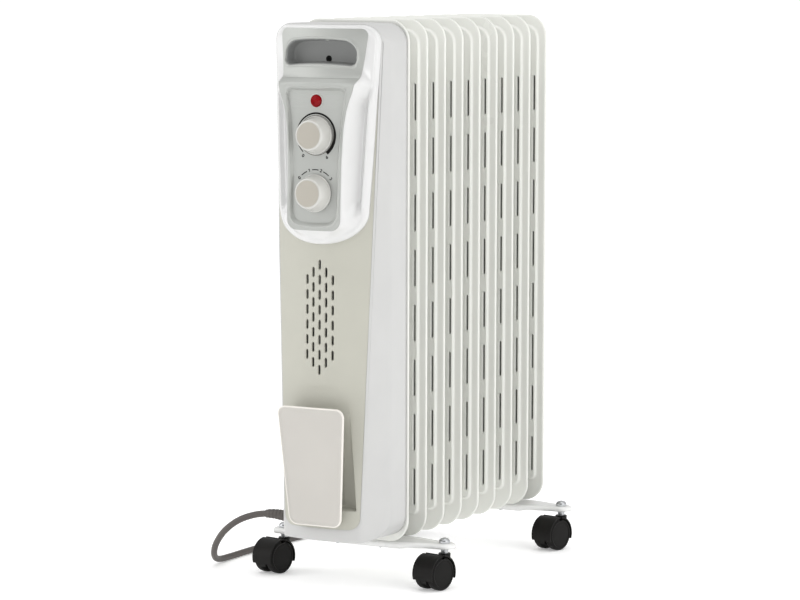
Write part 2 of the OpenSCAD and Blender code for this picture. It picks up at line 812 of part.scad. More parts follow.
module cord_gland() {
    color([0.2, 0.2, 0.2]) translate([0, gland_y, gland_z]) rotate([0, -90, 0]) difference() {
        union() {
            translate([0, 0, case_half - 8]) cylinder(r = 6 - running_gap, h = -cord_start_x - case_half + 8);
            translate([0, 0, case_half]) cylinder(r = 8, h = 2);
        }
        translate([0, 0, case_half - 10]) cylinder(r = cord_r + running_gap, h = 30);
    }
}

// ---- feet ----

// Plan of a foot bar, shrunk by an inset
module bar_plan(inset) {
    e = bar_end_r - inset;
    m = bar_mid_half - inset;
    polygon([[-stem_x, -e], [-bar_neck_x, -e], [-bar_mid_x, -m], [bar_mid_x, -m], [bar_neck_x, -e],
        [stem_x, -e], [stem_x, e], [bar_neck_x, e], [bar_mid_x, m], [-bar_mid_x, m], [-bar_neck_x, e],
        [-stem_x, e]]);
    for (x = [-stem_x, stem_x]) translate([x, 0]) circle(e);
}

module foot_bar(y) {
    color([0.93, 0.93, 0.92]) translate([0, y, 0]) difference() {
        translate([0, 0, bar_top - bar_skirt]) linear_extrude(bar_skirt) bar_plan(0);
        translate([0, 0, bar_top - bar_skirt - 1]) linear_extrude(bar_skirt - bar_t + 1) bar_plan(bar_t);
        for (side = [-1, 1])
            translate([side * stem_x - 42, -50, bar_top - bar_skirt - 1])
                cube([84, 100, bar_skirt - bar_end_skirt + 1]);
        for (side = [-1, 1]) {
            translate([side * stem_x, 0, bar_top - bar_skirt]) cylinder(r = stem_r + running_gap, h = 20);
            translate([side * clamp_leg_x, 0, bar_top - bar_skirt]) cylinder(r = clamp_rod_r + 0.3, h = 20);
        }
    }
}

module front_foot_bar() {
    foot_bar(-foot_y);
}

module rear_foot_bar() {
    foot_bar(foot_y);
}

// A steel rod bent over the lower header, with both legs down through the foot bar
module foot_clamps() {
    low = bar_top - bar_skirt - 2;
    color([0.75, 0.76, 0.78]) for (y = [-foot_y, foot_y]) translate([0, y, header_low_z]) {
        rotate([90, 0, 0]) rotate_extrude(angle = 180) translate([clamp_leg_x, 0]) circle(clamp_rod_r);
        for (x = [-clamp_leg_x, clamp_leg_x])
            translate([x, 0, low - header_low_z]) cylinder(r = clamp_rod_r, h = header_low_z - low);
    }
}

module wing_nut() {
    difference() {
        union() {
            cylinder(r = 5, h = 5);
            for (s = [-1, 1]) translate([s * 7 - 4, -1, 0]) cube([8, 2, 8]);
        }
        translate([0, 0, -1]) cylinder(r = clamp_rod_r + running_gap, h = 12);
    }
}

module wing_nuts() {
    color([0.78, 0.78, 0.8]) for (y = [-foot_y, foot_y], x = [-clamp_leg_x, clamp_leg_x])
        translate([x, y, bar_top - bar_t]) mirror([0, 0, 1]) rotate([0, 0, 90]) wing_nut();
}

module at_corners() {
    for (x = [-stem_x, stem_x], y = [-foot_y, foot_y]) translate([x, y, 0]) children();
}

module castor_stems() {
    color([0.8, 0.8, 0.82]) at_corners() translate([0, 0, stem_bottom]) {
        cylinder(r = stem_r, h = stem_top - stem_bottom);
        translate([0, 0, collar_top - stem_bottom])
            cylinder(r = stem_r + 1.5, h = bar_top - bar_t - collar_top);
    }
}

module castor_nuts() {
    color([0.85, 0.85, 0.88]) at_corners() translate([0, 0, bar_top]) difference() {
        union() {
            cylinder(r = nut_r, h = 3);
            intersection() {
                cylinder(r = nut_r, h = 3 * nut_r);
                translate([0, 0, 2.5]) sphere(nut_r);
            }
        }
        translate([0, 0, -1]) cylinder(r = stem_r + running_gap, h = stem_top - bar_top + 1.05);
    }
}

// Index of a castor: 0 front left, 1 front right, 2 rear left, 3 rear right
function corner(i) = [(i % 2 == 0 ? -1 : 1) * stem_x, (i < 2 ? -1 : 1) * foot_y, 0];

// Places children at a castor: origin on the floor under the stem, axle along X
module at_castor(i) {
    translate(corner(i)) rotate([0, 0, castor_heading]) children();
}

module castor_hood(i) {
    socket_r = stem_r + 2.5;
    color([0.13, 0.13, 0.13]) at_castor(i) difference() {
        union() {
            // Round shell over both wheels
            translate([-castor_half_w, -castor_trail, wheel_r]) rotate([0, 90, 0]) difference() {
                cylinder(r = hood_r, h = 2 * castor_half_w);
                translate([0, 0, -1]) cylinder(r = hood_r - hood_wall, h = 2 * castor_half_w + 2);
                translate([wheel_r * 0.35, -hood_r - 1, -1])
                    cube([hood_r, 2 * hood_r + 2, 2 * castor_half_w + 2]);
            }
            // Web between the wheels
            translate([-web_w / 2, -castor_trail, wheel_r]) rotate([0, 90, 0]) difference() {
                cylinder(r = hood_r - hood_wall / 2, h = web_w);
                translate([wheel_r * 0.55, -hood_r, -1]) cube([hood_r, 2 * hood_r, web_w + 2]);
            }
            // Socket for the stem
            translate([0, 0, wheel_r - 2]) cylinder(r = socket_r, h = collar_top - seat_gap - wheel_r + 2);
            translate([-web_w / 2, -castor_trail, wheel_r - 2]) cube([web_w, castor_trail, wheel_r + 2]);
            // Axle
            translate([-castor_half_w + 1.5, -castor_trail, wheel_r]) rotate([0, 90, 0])
                cylinder(r = axle_r, h = 2 * castor_half_w - 3);
        }
        translate([0, 0, stem_bottom - 0.5]) cylinder(r = stem_r + running_gap, h = 40);
        for (s = [-1, 1])
            translate([s * (web_w / 2 + wheel_gap + wheel_w / 2), -castor_trail, wheel_r])
                rotate([0, 90, 0]) translate([0, 0, -wheel_w / 2 - wheel_gap]) difference() {
                    cylinder(r = wheel_r + wheel_gap, h = wheel_w + 2 * wheel_gap);
                    translate([0, 0, -1]) cylinder(r = axle_r, h = wheel_w + 2 * wheel_gap + 2);
                }
    }
}

// One wheel with a blind bore for the axle; side is -1 or 1 along the axle
module castor_wheel(i, side) {
    color([0.16, 0.16, 0.16]) at_castor(i)
        translate([side * (web_w / 2 + wheel_gap), -castor_trail, wheel_r]) rotate([0, side * 90, 0])
        difference() {
            rotate_extrude() polygon([[0, 0], [wheel_r - 1.2, 0], [wheel_r, 1.2], [wheel_r, wheel_w - 1.2],
                [wheel_r - 1.2, wheel_w], [0, wheel_w]]);
            translate([0, 0, -1]) cylinder(r = axle_r + running_gap, h = wheel_w);
        }
}

// ---- supply cord ----

// A round tube swept along a list of points, as one closed polyhedron
module tube(points, r, sides) {
    n = len(points);
    dirs = [for (i = [0:n - 1]) let (d = points[min(i + 1, n - 1)] - points[max(i - 1, 0)]) d / norm(d)];
    rings = [for (i = [0:n - 1]) let (
        t = dirs[i],
        u0 = cross(abs(t[2]) > 0.9 ? [1, 0, 0] : [0, 0, 1], t),
        u = u0 / norm(u0),
        v = cross(t, u))
        for (k = [0:sides - 1]) points[i] + r * (cos(360 * k / sides) * u + sin(360 * k / sides) * v)];
    walls = [for (i = [0:n - 2], k = [0:sides - 1])
        let (a = i * sides + k, b = i * sides + (k + 1) % sides)
        [a, a + sides, b + sides, b]];
    polyhedron(points = rings, faces = concat(walls, [[for (k = [0:sides - 1]) k]],
        [[for (k = [sides - 1:-1:0]) (n - 1) * sides + k]]));
}

// A smooth curve through the points, with the given number of steps between two of them
function smooth(p, steps) = concat([for (i = [0:len(p) - 2], s = [0:steps - 1])
    let (t = s / steps,
        a = p[max(i - 1, 0)], b = p[i], c = p[i + 1], d = p[min(i + 2, len(p) - 1)])
    0.5 * (2 * b + (c - a) * t + (2 * a - 5 * b + 4 * c - d) * t * t
        + (3 * b - a - 3 * c + d) * t * t * t)], [p[len(p) - 1]]);

module power_cord() {
    color([0.3, 0.29, 0.28]) {
        tube(smooth(cord_route, 2), cord_r, cord_side_count);
        tube(tail_route, cord_r, cord_side_count);
    }
}

module cord_coil() {
    color([0.3, 0.29, 0.28]) translate([coil_x, coil_y, coil_z0]) rotate_extrude()
        translate([coil_mid_r, coil_h / 2]) square([coil_w, coil_h], center = true);
}

module cord_tie() {
    t = 1;
    color([0.1, 0.1, 0.1]) translate([coil_x - coil_mid_r, coil_y, coil_z0 + coil_h / 2]) rotate([90, 0, 0])
        translate([0, 0, -7]) difference() {
            linear_extrude(14) square([coil_w + 3 + 2 * t, coil_h + 2 * t + 0.4], center = true);
            translate([0, 0, -1]) linear_extrude(16) square([coil_w + 3, coil_h + 0.4], center = true);
        }
}

module plug_body() {
    color([0.25, 0.25, 0.25]) translate([plug_x, plug_y0, plug_z]) rotate([-90, 0, 0]) {
        cylinder(r1 = cord_r + 2, r2 = plug_r - 2, h = 14);
        translate([0, 0, 14]) cylinder(r = plug_r, h = plug_body_len - 14);
    }
}

module plug_pins() {
    color([0.8, 0.8, 0.78]) for (x = [-1, 1])
        translate([plug_x + x * pin_gap / 2, plug_y0 + plug_body_len, plug_z]) rotate([-90, 0, 0])
            cylinder(r = pin_r, h = pin_len);
}

control_casing();
front_panel();
control_panel();
handle_pocket();
dial_plate();
pilot_lamp_lens();
pilot_lamp_body();
thermostat_knob();
thermostat_spindle();
thermostat_body();
selector_knob();
selector_spindle();
selector_switch_body();
control_bracket();
thermal_cutout();
terminal_block();
wiring_harness();
heat_shield();
cord_wrap();
casing_screws();
cord_gland();
for (i = [1:fin_count])
    fin(i);
upper_header();
lower_header();
header_plugs();
heating_element();
element_flange();
front_foot_bar();
rear_foot_bar();
foot_clamps();
wing_nuts();
castor_stems();
castor_nuts();
for (i = [0:3])
    castor_hood(i);
for (i = [0:3], s = [0, 1])
    castor_wheel(i, (s == 0 ? -1 : 1) * (i % 2 == 0 ? -1 : 1));
power_cord();
cord_coil();
cord_tie();
plug_body();
plug_pins();
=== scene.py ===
"""Oil filled radiator heater: surfaces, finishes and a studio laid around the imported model.

Sizes are in millimetres in the frame of the model: front is -Y, right is +X, up is +Z.
"""

import json
import math

import bmesh
import bpy
import numpy as np
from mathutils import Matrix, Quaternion, Vector

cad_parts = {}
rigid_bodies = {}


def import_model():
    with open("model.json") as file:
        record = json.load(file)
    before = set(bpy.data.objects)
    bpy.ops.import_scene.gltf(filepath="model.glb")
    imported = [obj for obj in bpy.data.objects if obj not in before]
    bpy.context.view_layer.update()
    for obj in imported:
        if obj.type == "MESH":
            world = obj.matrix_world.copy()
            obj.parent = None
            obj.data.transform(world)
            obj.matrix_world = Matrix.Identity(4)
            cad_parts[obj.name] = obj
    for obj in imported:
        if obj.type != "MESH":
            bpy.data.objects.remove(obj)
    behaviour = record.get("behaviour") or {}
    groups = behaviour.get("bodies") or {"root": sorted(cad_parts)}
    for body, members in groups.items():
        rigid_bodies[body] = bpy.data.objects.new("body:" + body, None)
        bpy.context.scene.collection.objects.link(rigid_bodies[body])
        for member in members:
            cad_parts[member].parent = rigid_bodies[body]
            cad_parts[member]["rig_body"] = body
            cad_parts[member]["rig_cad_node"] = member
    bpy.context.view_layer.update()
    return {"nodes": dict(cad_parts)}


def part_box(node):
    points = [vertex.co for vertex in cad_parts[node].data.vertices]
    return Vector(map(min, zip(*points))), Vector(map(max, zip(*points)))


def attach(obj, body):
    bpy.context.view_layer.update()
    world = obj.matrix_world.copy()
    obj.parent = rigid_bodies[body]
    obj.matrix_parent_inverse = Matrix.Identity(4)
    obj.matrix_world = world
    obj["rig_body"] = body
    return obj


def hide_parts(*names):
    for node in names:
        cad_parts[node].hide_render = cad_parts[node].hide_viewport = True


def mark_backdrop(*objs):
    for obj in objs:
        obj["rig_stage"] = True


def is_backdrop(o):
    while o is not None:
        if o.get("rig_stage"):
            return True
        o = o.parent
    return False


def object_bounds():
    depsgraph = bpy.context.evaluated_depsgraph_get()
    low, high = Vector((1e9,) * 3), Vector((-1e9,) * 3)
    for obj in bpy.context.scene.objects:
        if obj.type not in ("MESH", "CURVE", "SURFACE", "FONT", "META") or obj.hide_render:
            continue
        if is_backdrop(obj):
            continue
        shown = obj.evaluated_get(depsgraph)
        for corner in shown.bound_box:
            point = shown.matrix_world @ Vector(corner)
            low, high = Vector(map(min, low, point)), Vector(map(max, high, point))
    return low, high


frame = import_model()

bl_info = {
    "name": "Oil Filled Radiator Heater",
    "version": (1, 0, 0),
    "blender": (4, 5, 0),
    "location": "View3D > Sidebar > Heater",
    "description": "Builds the surfaces and finishes of an oil filled radiator heater",
    "category": "Add Mesh",
}

MM = 0.001
ROOT = "heater"  # the body that a piece rides on unless another is named
TINY = 1e-6
SHARP = 35.0  # degrees between two faces from which the edge between them stays hard


def box_mm(node):
    """The low and the high corner of a node's box, in millimetres."""
    return [np.array(corner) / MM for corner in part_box(node)]


def centre_mm(node):
    low, high = box_mm(node)
    return (low + high) / 2


# ---- sizes of the model, in millimetres ----
FIN_COUNT = sum(name.startswith("fin_") for name in frame["nodes"])
FIN_HALF = box_mm(f"fin_{FIN_COUNT}")[1][0]
FIN_BOTTOM, FIN_TOP = box_mm("fin_1")[0][2], box_mm(f"fin_{FIN_COUNT}")[1][2]
FIN_CORNER = 24.0
CASE_BACK = -163.5
CASE_HALF = 66.0
CASE_LOW_Z, CASE_TOP_Z = 56.0, 602.5
CASE_CORNER = 22.0
CASE_SIDE_DEPTH = 34.5
WALL = 2.5
WAIST_Z = 360.0
PROUD = 5.0
DIAL_Y, DIAL_Z = -241.7, 457.0
DIAL_LEAN = math.radians(2.0)
BAR_TOP = 48.0
WHEEL_R = 18.0
# the casing's front at its bottom, its waist and its top: half width, sag of its arc, reach before the back
FRONT_HALF = (46.5, 57.3, 64.5)
FRONT_SAG = (8.5, 13.2, 14.0)
FRONT_BOW = (73.0, 70.5, 63.5)


def station(z, sizes):
    """A size of the casing's front at height z: it changes straight from bottom to waist and waist to top."""
    return np.interp(z, [CASE_LOW_Z, WAIST_Z, CASE_TOP_Z], sizes)


def front_half(z):
    return station(z, FRONT_HALF)


def front_radius(z):
    """Radius of the arc across the front: half width squared plus sag squared, over twice the sag."""
    half, sag = front_half(z), station(z, FRONT_SAG)
    return (half**2 + sag**2) / (2 * sag)


def bulge(x, z):
    """How far the front's arc lies behind its middle: r less the root of r squared less x squared."""
    r = front_radius(z)
    return r - np.sqrt(r**2 - np.minimum(np.abs(x), front_half(z)) ** 2)


def front_y(x, z):
    """Front of the casing: its bow at that height, less the arc."""
    return CASE_BACK - station(z, FRONT_BOW) + bulge(x, z)


def casing_y(x, z):
    """The front between its edges, and outside them a straight slope back to the crease of the side wall."""
    half = front_half(z)
    slope = np.clip((np.abs(x) - half) / np.maximum(CASE_HALF - half, 0.01), 0, 1)
    return (1 - slope) * front_y(x, z) + slope * (CASE_BACK - CASE_SIDE_DEPTH)


# ---- ways to make a surface ----
def stacked(*parts):
    """Arrays spread to one shape and laid side by side along a new last axis."""
    return np.stack(np.broadcast_arrays(*parts), -1)


def put_mesh(name, points, quads, tris=None, uv=None, sharp=SHARP):
    """Puts whole arrays of points, in millimetres, and of faces into a new object at the origin."""
    tris = np.zeros((0, 3), int) if tris is None else np.asarray(tris, int)
    quads = np.asarray(quads, int).reshape(-1, 4)
    corners = np.concatenate([quads.ravel(), tris.ravel()]).astype(np.int32)
    starts = np.concatenate([np.arange(len(quads)) * 4, len(quads) * 4 + np.arange(len(tris)) * 3])
    mesh = bpy.data.meshes.new(name)
    mesh.vertices.add(len(points))
    mesh.vertices.foreach_set("co", (np.asarray(points, float) * MM).astype(np.float32).ravel())
    mesh.loops.add(len(corners))
    mesh.loops.foreach_set("vertex_index", corners)
    mesh.polygons.add(len(starts))
    mesh.polygons.foreach_set("loop_start", starts.astype(np.int32))
    mesh.update(calc_edges=True)
    mesh.validate()
    mesh.polygons.foreach_set("use_smooth", np.ones(len(mesh.polygons), bool))
    if sharp:
        mesh.set_sharp_from_angle(angle=math.radians(sharp))
    if uv is not None:
        layer = mesh.uv_layers.new(name="Along")
        layer.data.foreach_set("uv", np.asarray(uv, np.float32)[corners].ravel())
    piece = bpy.data.objects.new(name, mesh)
    bpy.context.scene.collection.objects.link(piece)
    return piece


def grid(rows, cols, wrap_rows=False, wrap_cols=False):
    """Quads of a grid of points stored row by row; a wrapped way joins its last line to its first."""
    i = np.arange(rows if wrap_rows else rows - 1)[:, None]
    j = np.arange(cols if wrap_cols else cols - 1)[None, :]
    up, right = (i + 1) % rows, (j + 1) % cols
    return stacked(i * cols + j, up * cols + j, up * cols + right, i * cols + right).reshape(-1, 4)


def outward(points, quads, tris=None, toward=None):
    """Turns all faces over if a closed shape's signed volume is negative, or if an open one faces away from
    `toward`."""
    corners = [quads[:, [0, 1, 2]], quads[:, [0, 2, 3]]]
    triangles = np.concatenate(corners if tris is None else [*corners, tris])
    a, b, c = (points[triangles[:, k]] for k in range(3))
    normal = np.cross(b - a, c - a)
    measure = (a * normal).sum() if toward is None else (normal @ np.asarray(toward, float)).sum()
    if measure >= 0:
        return quads, tris
    return quads[:, ::-1], None if tris is None else tris[:, ::-1]


def round_corners(path, cut, steps):
    """Replaces each inner corner of a path by a parabola that starts `cut` before it and ends `cut` after."""
    path = np.asarray(path, float)
    most = 0.48  # of the way to a neighbour, so that two corners never meet
    cut = np.broadcast_to(np.asarray(cut, float), len(path))[:, None]
    ends = []
    for way in (1, -1):
        toward = np.roll(path, way, 0) - path
        gap = np.maximum(np.linalg.norm(toward, axis=1, keepdims=True), TINY)
        ends.append(path + toward * np.minimum(cut / gap, most))
    start, end = ends
    t = np.linspace(0, 1, steps)[None, :, None]
    arcs = (1 - t) ** 2 * start[:, None] + 2 * t * (1 - t) * path[:, None] + t**2 * end[:, None]
    return np.concatenate([path[:1], arcs[1:-1].reshape(-1, path.shape[1]), path[-1:]])


def run_along(line):
    """Distance along a line from its start to each of its points."""
    return np.concatenate([[0], np.cumsum(np.linalg.norm(np.diff(line, axis=0), axis=1))])


def even(path, count):
    """Points spaced evenly along a path by its length."""
    path = np.asarray(path, float)
    run = run_along(path)
    at = np.linspace(0, run[-1], count)
    return np.stack([np.interp(at, run, path[:, k]) for k in range(path.shape[1])], -1)


def smooth_line(points, steps):
    """A Catmull-Rom curve through the points: each span is a cubic set by its ends and their neighbours."""
    p = np.asarray(points, float)
    a, b, c, d = p[np.r_[0, 0 : len(p) - 2]], p[:-1], p[1:], p[np.r_[2 : len(p), len(p) - 1]]
    t = (np.arange(steps) / steps)[None, :, None]
    a, b, c, d = (q[:, None] for q in (a, b, c, d))
    spans = 0.5 * (2 * b + (c - a) * t + (2 * a - 5 * b + 4 * c - d) * t**2 + (3 * b - a - 3 * c + d) * t**3)
    return np.concatenate([spans.reshape(-1, p.shape[1]), p[-1:]])


def soften(ribs, width):
    """Rounds every rib (the second index runs along it) by a Gaussian average over its length that narrows
    towards its ends."""
    narrowing = 2.2
    step = np.linalg.norm(np.diff(ribs, axis=1), axis=2)
    run = np.concatenate([np.zeros((len(ribs), 1)), np.cumsum(step, 1)], 1)
    share = np.gradient(run, axis=1)
    reach = np.minimum(run, run[:, -1:] - run) / narrowing
    spread = np.clip(np.minimum(width, reach), 1e-3, None)[:, :, None]
    weight = np.exp(-(((run[:, :, None] - run[:, None, :]) / spread) ** 2) / 2) * share[:, None, :]
    weight /= weight.sum(2, keepdims=True)
    return np.einsum("rij,rjk->rik", weight, ribs)


def frame_at(axis):
    """Two unit vectors at right angles to an axis and to each other."""
    axis = np.asarray(axis, float) / np.linalg.norm(axis)
    side = np.cross((0, 0, 1), axis)
    if np.linalg.norm(side) < TINY:
        side = np.cross((1, 0, 0), axis)
    side = side / np.linalg.norm(side)
    return side, np.cross(axis, side)


def turned(name, profile, centre, axis, count, closed=False, radius_at=None, sharp=SHARP):
    """A profile of (radius, height) pairs turned about an axis. An end of radius 0 is a pole; a closed
    profile makes a ring. radius_at(angle, radius, height) may bend the round section into another."""
    profile = np.asarray(profile, float)
    axis = np.asarray(axis, float) / np.linalg.norm(axis)
    side, other = frame_at(axis)
    low_pole, high_pole = (not closed and profile[k][0] < TINY for k in (0, -1))
    body = profile[int(low_pole) : len(profile) - int(high_pole)]
    angle = np.arange(count) / count * 2 * math.pi
    r = np.broadcast_to(body[:, :1], (len(body), count))
    if radius_at is not None:
        r = radius_at(angle[None, :], r, body[:, 1:2])
    ring = np.cos(angle)[:, None] * side + np.sin(angle)[:, None] * other
    points = np.asarray(centre) + r[:, :, None] * ring[None] + body[:, 1][:, None, None] * axis
    points = points.reshape(-1, 3)
    quads = grid(len(body), count, wrap_rows=closed, wrap_cols=True)
    around, tris = np.arange(count), []
    for pole, row, at in ((low_pole, 0, profile[0]), (high_pole, len(body) - 1, profile[-1])):
        if pole:
            tip = len(points)
            points = np.concatenate([points, [np.asarray(centre) + at[1] * axis]])
            first = row * count
            fan = np.stack([np.full(count, tip), first + around, first + (around + 1) % count], -1)
            tris.append(fan if row == 0 else fan[:, ::-1])
    tris = np.concatenate(tris) if tris else None
    quads, tris = outward(points - np.asarray(centre), quads, tris)
    return put_mesh(name, points, quads, tris, sharp=sharp)


def tube(name, line, radius, sides=20):
    """A circle carried along a line without twist, with a fan at each end. radius may change along it."""
    line = np.asarray(line, float)
    along = np.gradient(line, axis=0)
    along /= np.linalg.norm(along, axis=1, keepdims=True)
    side = np.zeros_like(line)
    side[0] = frame_at(along[0])[0]
    for k in range(1, len(line)):
        kept = side[k - 1] - along[k] * (side[k - 1] @ along[k])
        side[k] = kept / np.linalg.norm(kept)
    other = np.cross(along, side)
    angle = np.arange(sides) / sides * 2 * math.pi
    radius = np.broadcast_to(np.asarray(radius, float), len(line))
    ring = np.cos(angle)[None, :, None] * side[:, None] + np.sin(angle)[None, :, None] * other[:, None]
    points = (line[:, None] + radius[:, None, None] * ring).reshape(-1, 3)
    quads = grid(len(line), sides, wrap_cols=True)
    around, tips = np.arange(sides), len(points)
    last = (len(line) - 1) * sides
    low = np.stack([np.full(sides, tips), around, (around + 1) % sides], -1)
    high = np.stack([np.full(sides, tips + 1), last + (around + 1) % sides, last + around], -1)
    run = run_along(line)
    uv = stacked(run[:, None] * MM, angle[None, :] / (2 * math.pi)).reshape(-1, 2)
    points = np.concatenate([points, line[[0, -1]]])
    uv = np.concatenate([uv, [[0, 0], [run[-1] * MM, 0]]])
    quads, tris = outward(points, quads, np.concatenate([low, high]))
    return put_mesh(name, points, quads, tris, uv=uv, sharp=60)


def two_sheets(name, front, back, quads, sharp=SHARP):
    """A plate from a front and a back sheet of one grid, with a wall along each edge of only one face."""
    used = np.unique(quads)
    fresh = np.full(len(front), -1)
    fresh[used] = np.arange(len(used))
    quads, front, back = fresh[quads], front[used], back[used]
    count = len(front)
    edges = np.concatenate([quads[:, [k, (k + 1) % 4]] for k in range(4)])
    keys = np.sort(edges, 1)
    _, first, uses = np.unique(keys[:, 0] * count + keys[:, 1], return_index=True, return_counts=True)
    rim = edges[first[uses == 1]]
    walls = np.stack([rim[:, 1], rim[:, 0], rim[:, 0] + count, rim[:, 1] + count], -1)
    faces = np.concatenate([quads, quads[:, ::-1] + count, walls])
    points = np.concatenate([front, back])
    faces, _ = outward(points - points.mean(0), faces)
    return put_mesh(name, points, faces, sharp=sharp)


def thick(piece, wall):
    """Gives an open sheet a wall on its back side."""
    layer = piece.modifiers.new("Wall", "SOLIDIFY")
    layer.thickness = wall * MM
    layer.offset = -1
    layer.use_even_offset = True
    layer.use_quality_normals = True
    return piece


def dressed_copy(node, name, edge):
    """A copy of a CAD node whose loose triangles are merged and whose hard edges get a small bevel."""
    merge_reach, flat_angle, crease, bevel_from = 2e-6, math.radians(1), math.radians(30), math.radians(40)
    piece = frame["nodes"][node].copy()
    piece.data = piece.data.copy()
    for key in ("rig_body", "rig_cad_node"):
        if key in piece:
            del piece[key]
    piece.parent = None
    piece.name = piece.data.name = name
    bpy.context.scene.collection.objects.link(piece)
    body = bmesh.new()
    body.from_mesh(piece.data)
    bmesh.ops.remove_doubles(body, verts=body.verts, dist=merge_reach)
    bmesh.ops.dissolve_limit(body, angle_limit=flat_angle, verts=body.verts, edges=body.edges)
    body.to_mesh(piece.data)
    body.free()
    piece.data.polygons.foreach_set("use_smooth", np.ones(len(piece.data.polygons), bool))
    piece.data.set_sharp_from_angle(angle=crease)
    if edge:
        bevel = piece.modifiers.new("Edge", "BEVEL")
        bevel.width = edge * MM
        bevel.segments = 2
        bevel.limit_method = "ANGLE"
        bevel.angle_limit = bevel_from
        bevel.harden_normals = True
    return piece


# ---- finishes ----
def shader_node(nodes, kind, **values):
    """A new shader node with some sockets set; an underscore in a socket's name stands for a space."""
    made = nodes.new(f"ShaderNode{kind}")
    for label, value in values.items():
        made.inputs[label.replace("_", " ")].default_value = value
    return made


def finish(name, colour, rough, grain=0.0, grain_size=0.35, mottle=0.02, mottle_size=45.0, metal=0.0,
           coat=0.0, specular=0.5):
    """A moulded, painted or plated finish. Soft noise shifts the colour by `mottle`, fine noise of
    `grain_size` millimetres gives relief `grain` deep, and the roughness follows the soft noise."""
    known = bpy.data.materials.get(name)
    if known:
        return known
    material = bpy.data.materials.new(name)
    material.use_nodes = True
    nodes, link = material.node_tree.nodes, material.node_tree.links.new
    nodes.clear()
    out = shader_node(nodes, "OutputMaterial")
    shader = shader_node(nodes, "BsdfPrincipled", Metallic=metal, Coat_Weight=coat, Coat_Roughness=0.12,
                         Specular_IOR_Level=specular)
    link(shader.outputs["BSDF"], out.inputs["Surface"])
    where = shader_node(nodes, "TexCoord")
    broad = shader_node(nodes, "TexNoise", Scale=1 / MM / mottle_size, Detail=4)
    link(where.outputs["Object"], broad.inputs["Vector"])
    ramp = shader_node(nodes, "ValToRGB")
    dim = [max(c * (1 - mottle), 0) for c in colour]
    bright = [min(c * (1 + mottle), 1) for c in colour]
    for stop, position, shade in zip(ramp.color_ramp.elements, (0.3, 0.7), (dim, bright)):
        stop.position, stop.color = position, [*shade, 1]
    link(broad.outputs["Fac"], ramp.inputs["Fac"])
    link(ramp.outputs["Color"], shader.inputs["Base Color"])
    gloss = shader_node(nodes, "MapRange", To_Min=max(rough - 0.05, 0.02), To_Max=rough + 0.07)
    link(broad.outputs["Fac"], gloss.inputs["Value"])
    link(gloss.outputs["Result"], shader.inputs["Roughness"])
    if grain:
        fine = shader_node(nodes, "TexNoise", Scale=1 / MM / grain_size, Detail=2)
        link(where.outputs["Object"], fine.inputs["Vector"])
        relief = shader_node(nodes, "Bump", Strength=0.6, Distance=grain * MM)
        link(fine.outputs["Fac"], relief.inputs["Height"])
        link(relief.outputs["Normal"], shader.inputs["Normal"])
    return material


def lens_finish(name, colour):
    """Smooth tinted moulding of low reflection whose colour shifts a lot over a few millimetres."""
    material = finish(name, colour, 0.16, mottle=0.25, mottle_size=4, specular=0.1)
    material.node_tree.nodes["Principled BSDF"].inputs["IOR"].default_value = 1.49
    return material


def paint(piece, material):
    piece.data.materials.clear()
    piece.data.materials.append(material)


def coat_piece(piece, material, body=ROOT, replaces=()):
    """Paints a piece, sets the body it rides on and hides the CAD nodes it takes the place of."""
    paint(piece, material)
    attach(piece, body)
    if replaces:
        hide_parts(*replaces)
    return piece


def weld(points, quads):
    """Joins points that fall together and turns a quad that lost one corner into a triangle."""
    _, first, back = np.unique(np.round(points, 3), axis=0, return_index=True, return_inverse=True)
    quads = back.reshape(-1)[quads]
    same = quads == np.roll(quads, -1, 1)
    lost = same.sum(1)
    tris = quads[lost == 1][~same[lost == 1]].reshape(-1, 3)
    whole = (tris != np.roll(tris, -1, 1)).all(1)
    return points[first], quads[lost == 0], tris[whole]


def loft(name, loops, toward=None, sharp=SHARP, ring=False):
    """A skin over a stack of closed loops with the same number of points; a loop may shrink to a line or a
    point. With `ring` the last loop joins the first, which makes a ring of closed section."""
    loops = np.asarray(loops, float)
    quads = grid(loops.shape[0], loops.shape[1], wrap_rows=ring, wrap_cols=True)
    points, quads, tris = weld(loops.reshape(-1, 3), quads)
    quads, tris = outward(points - points.mean(0), quads, tris, toward)
    return put_mesh(name, points, quads, tris, sharp=sharp)


def front_skin(name, ribs, wall, sharp):
    """A sheet with a wall over a ring of ribs, faced to the front."""
    points, quads, tris = weld(ribs.reshape(-1, 3), grid(*ribs.shape[:2], wrap_rows=True))
    quads, tris = outward(points, quads, tris, toward=(0, -1, 0))
    return thick(put_mesh(name, points, quads, tris, sharp=sharp), wall)


def outline(half_at, low, high, low_cut, high_cut, flat=12, corner=12, side=48, bow=0.0):
    """An upright outline, anticlockwise from the middle of its lower edge: straight lower and upper edges,
    elliptical corners of (width, height), sides that follow half_at(z). `bow` lifts the lower edge's ends."""
    t = np.linspace(0, 1, corner + 1)
    low_turn, high_turn = t * math.pi / 2, (1 - t) * math.pi / 2
    z = np.concatenate([
        low + low_cut[1] * (1 - np.cos(low_turn)),
        np.linspace(low + low_cut[1], high - high_cut[1], side + 2)[1:-1],
        high - high_cut[1] * (1 - np.cos(high_turn)),
    ])
    inset = [low_cut[0] * (1 - np.sin(low_turn)), np.zeros(side), high_cut[0] * (1 - np.sin(high_turn))]
    x = half_at(z) - np.concatenate(inset)
    x = np.concatenate([np.linspace(0, x[0], flat + 1)[:-1], x, np.linspace(x[-1], 0, flat + 1)[1:]])
    z = np.concatenate([np.full(flat, low), z, np.full(flat, high)])
    span = np.clip(1 - (z - low) / max(low_cut[1] * 3, 1), 0, 1)
    z = z + bow * (x / max(x.max(), 1)) ** 2 * span
    return np.concatenate([x, -x[-2:0:-1]]), np.concatenate([z, z[-2:0:-1]])


